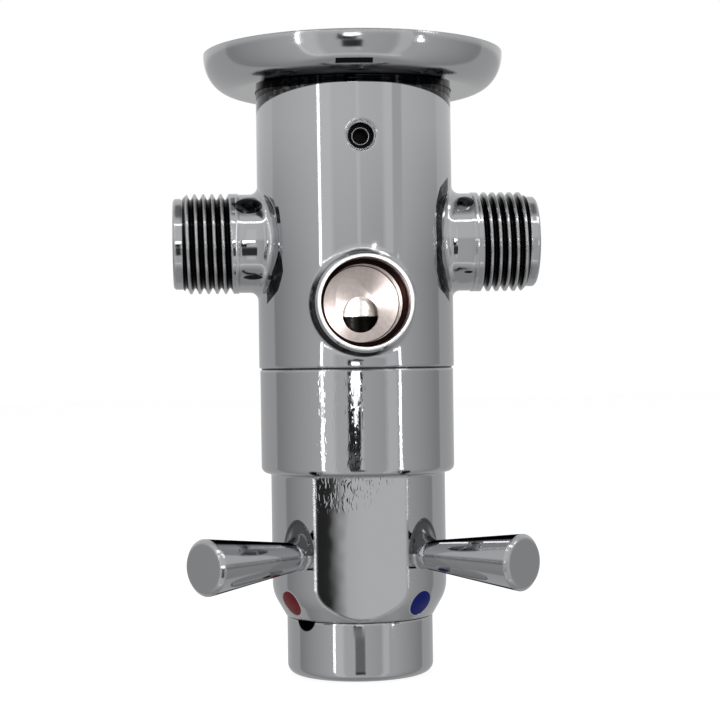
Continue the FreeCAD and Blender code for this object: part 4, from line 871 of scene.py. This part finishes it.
# %% White sweep and lamps
FLOOR = cad_box[0].z - 0.2 * MM
PAPER_GLOW = 1.08
GLOW_SHARE = 0.84
BEAM_WIDTH = math.radians(1.35)
OUTLET_FLOOR = Vector((0, -14 * MM, -OUTLET_DEPTH))


def white_paper():
    material, tree = cleared_material("white_paper")
    paper = add(tree, "BsdfDiffuse", {"Color": colour("F6F6F6")})
    glow = add(tree, "Emission", {"Strength": PAPER_GLOW})
    paths = add(tree, "LightPath").outputs
    seen = any_of(tree, paths["Is Camera Ray"], paths["Is Transmission Ray"])
    both = add(tree, "MixShader", [all_of(tree, seen, GLOW_SHARE), paper, glow])
    add(tree, "OutputMaterial", {"Surface": both})
    return material


fresh()
bpy.ops.mesh.primitive_plane_add(size=6.0, location=(0, 0, FLOOR))
floor = bpy.context.object
floor.name = "floor"
floor.data.transform(Matrix.Translation(floor.location))
floor.location = (0, 0, 0)
floor.data.materials.append(white_paper())
floor.visible_glossy = False

world = bpy.data.worlds.new("studio_world")
bpy.context.scene.world = world
world.use_nodes = True
sky = world.node_tree
paths = add(sky, "LightPath").outputs
seen = any_of(sky, paths["Is Camera Ray"], paths["Is Glossy Ray"], paths["Is Transmission Ray"])
strength = add(sky, "MapRange", {"Value": seen, "To Min": 0.55, "To Max": 1.0})
fill(sky, sky.nodes["Background"], {"Color": colour("FFFFFF"), "Strength": strength})


def hang_lamp(name, kind, watts, place, target):
    """A lamp of some kind at a place, turned to a target."""
    lamp = bpy.data.lights.new(name, kind)
    lamp.energy = watts
    holder = bpy.data.objects.new(name, lamp)
    holder.location = place
    holder.rotation_euler = (target - Vector(place)).to_track_quat("-Z", "Y").to_euler()
    bpy.context.collection.objects.link(holder)
    return holder


for name, place, size, watts in (("key_lamp", (-0.7, -0.9, 0.7), 0.8, 9),
                                 ("fill_lamp", (0.9, -0.7, 0.3), 0.9, 5),
                                 ("top_lamp", (0.0, 0.4, 1.0), 0.9, 6)):
    holder = hang_lamp(name, "AREA", watts, place, VALVE_MIDDLE)
    holder.data.size = size
    holder.visible_glossy = False
for side, place, watts in (("right", (0.33, -0.93, 0.13), 13), ("left", (-0.24, -0.95, -0.11), 16)):
    holder = hang_lamp(f"outlet_beam_{side}", "SPOT", watts, place, OUTLET_FLOOR)
    holder.data.shadow_soft_size = 3 * MM
    holder.data.spot_size = BEAM_WIDTH
    holder.data.spot_blend = 0.2
    holder.visible_diffuse = False
print("lamps:", [light.name for light in bpy.data.lights])

# %% [markdown]
# ## The camera
# The camera hangs level with the middle of the valve, 0.38 m away and a little to its left, so
# the front of the valve looks slightly to the right. The photo leans by under a degree, and the
# camera is rolled by as much.

# %% Camera
camera_data = bpy.data.cameras.new("camera")
camera_data.lens = CAMERA_LENS
camera_data.sensor_width = 36
camera_data.clip_start = 0.01
camera = bpy.data.objects.new("camera", camera_data)
bpy.context.collection.objects.link(camera)
turn = (Matrix.Rotation(CAMERA_YAW, 4, "Z") @ Matrix.Rotation(math.radians(90) + CAMERA_PITCH, 4, "X")
        @ Matrix.Rotation(CAMERA_ROLL, 4, "Z"))
camera.matrix_world = Matrix.Translation(CAMERA_PLACE) @ turn
bpy.context.scene.camera = camera
print("camera at", tuple(round(v, 4) for v in camera.matrix_world.translation))

# %% [markdown]
# ## Colour management
# The Standard view shows each colour as it was written, which suits plain product pictures.

# %% Finish
bpy.context.scene.view_settings.view_transform = "Standard"
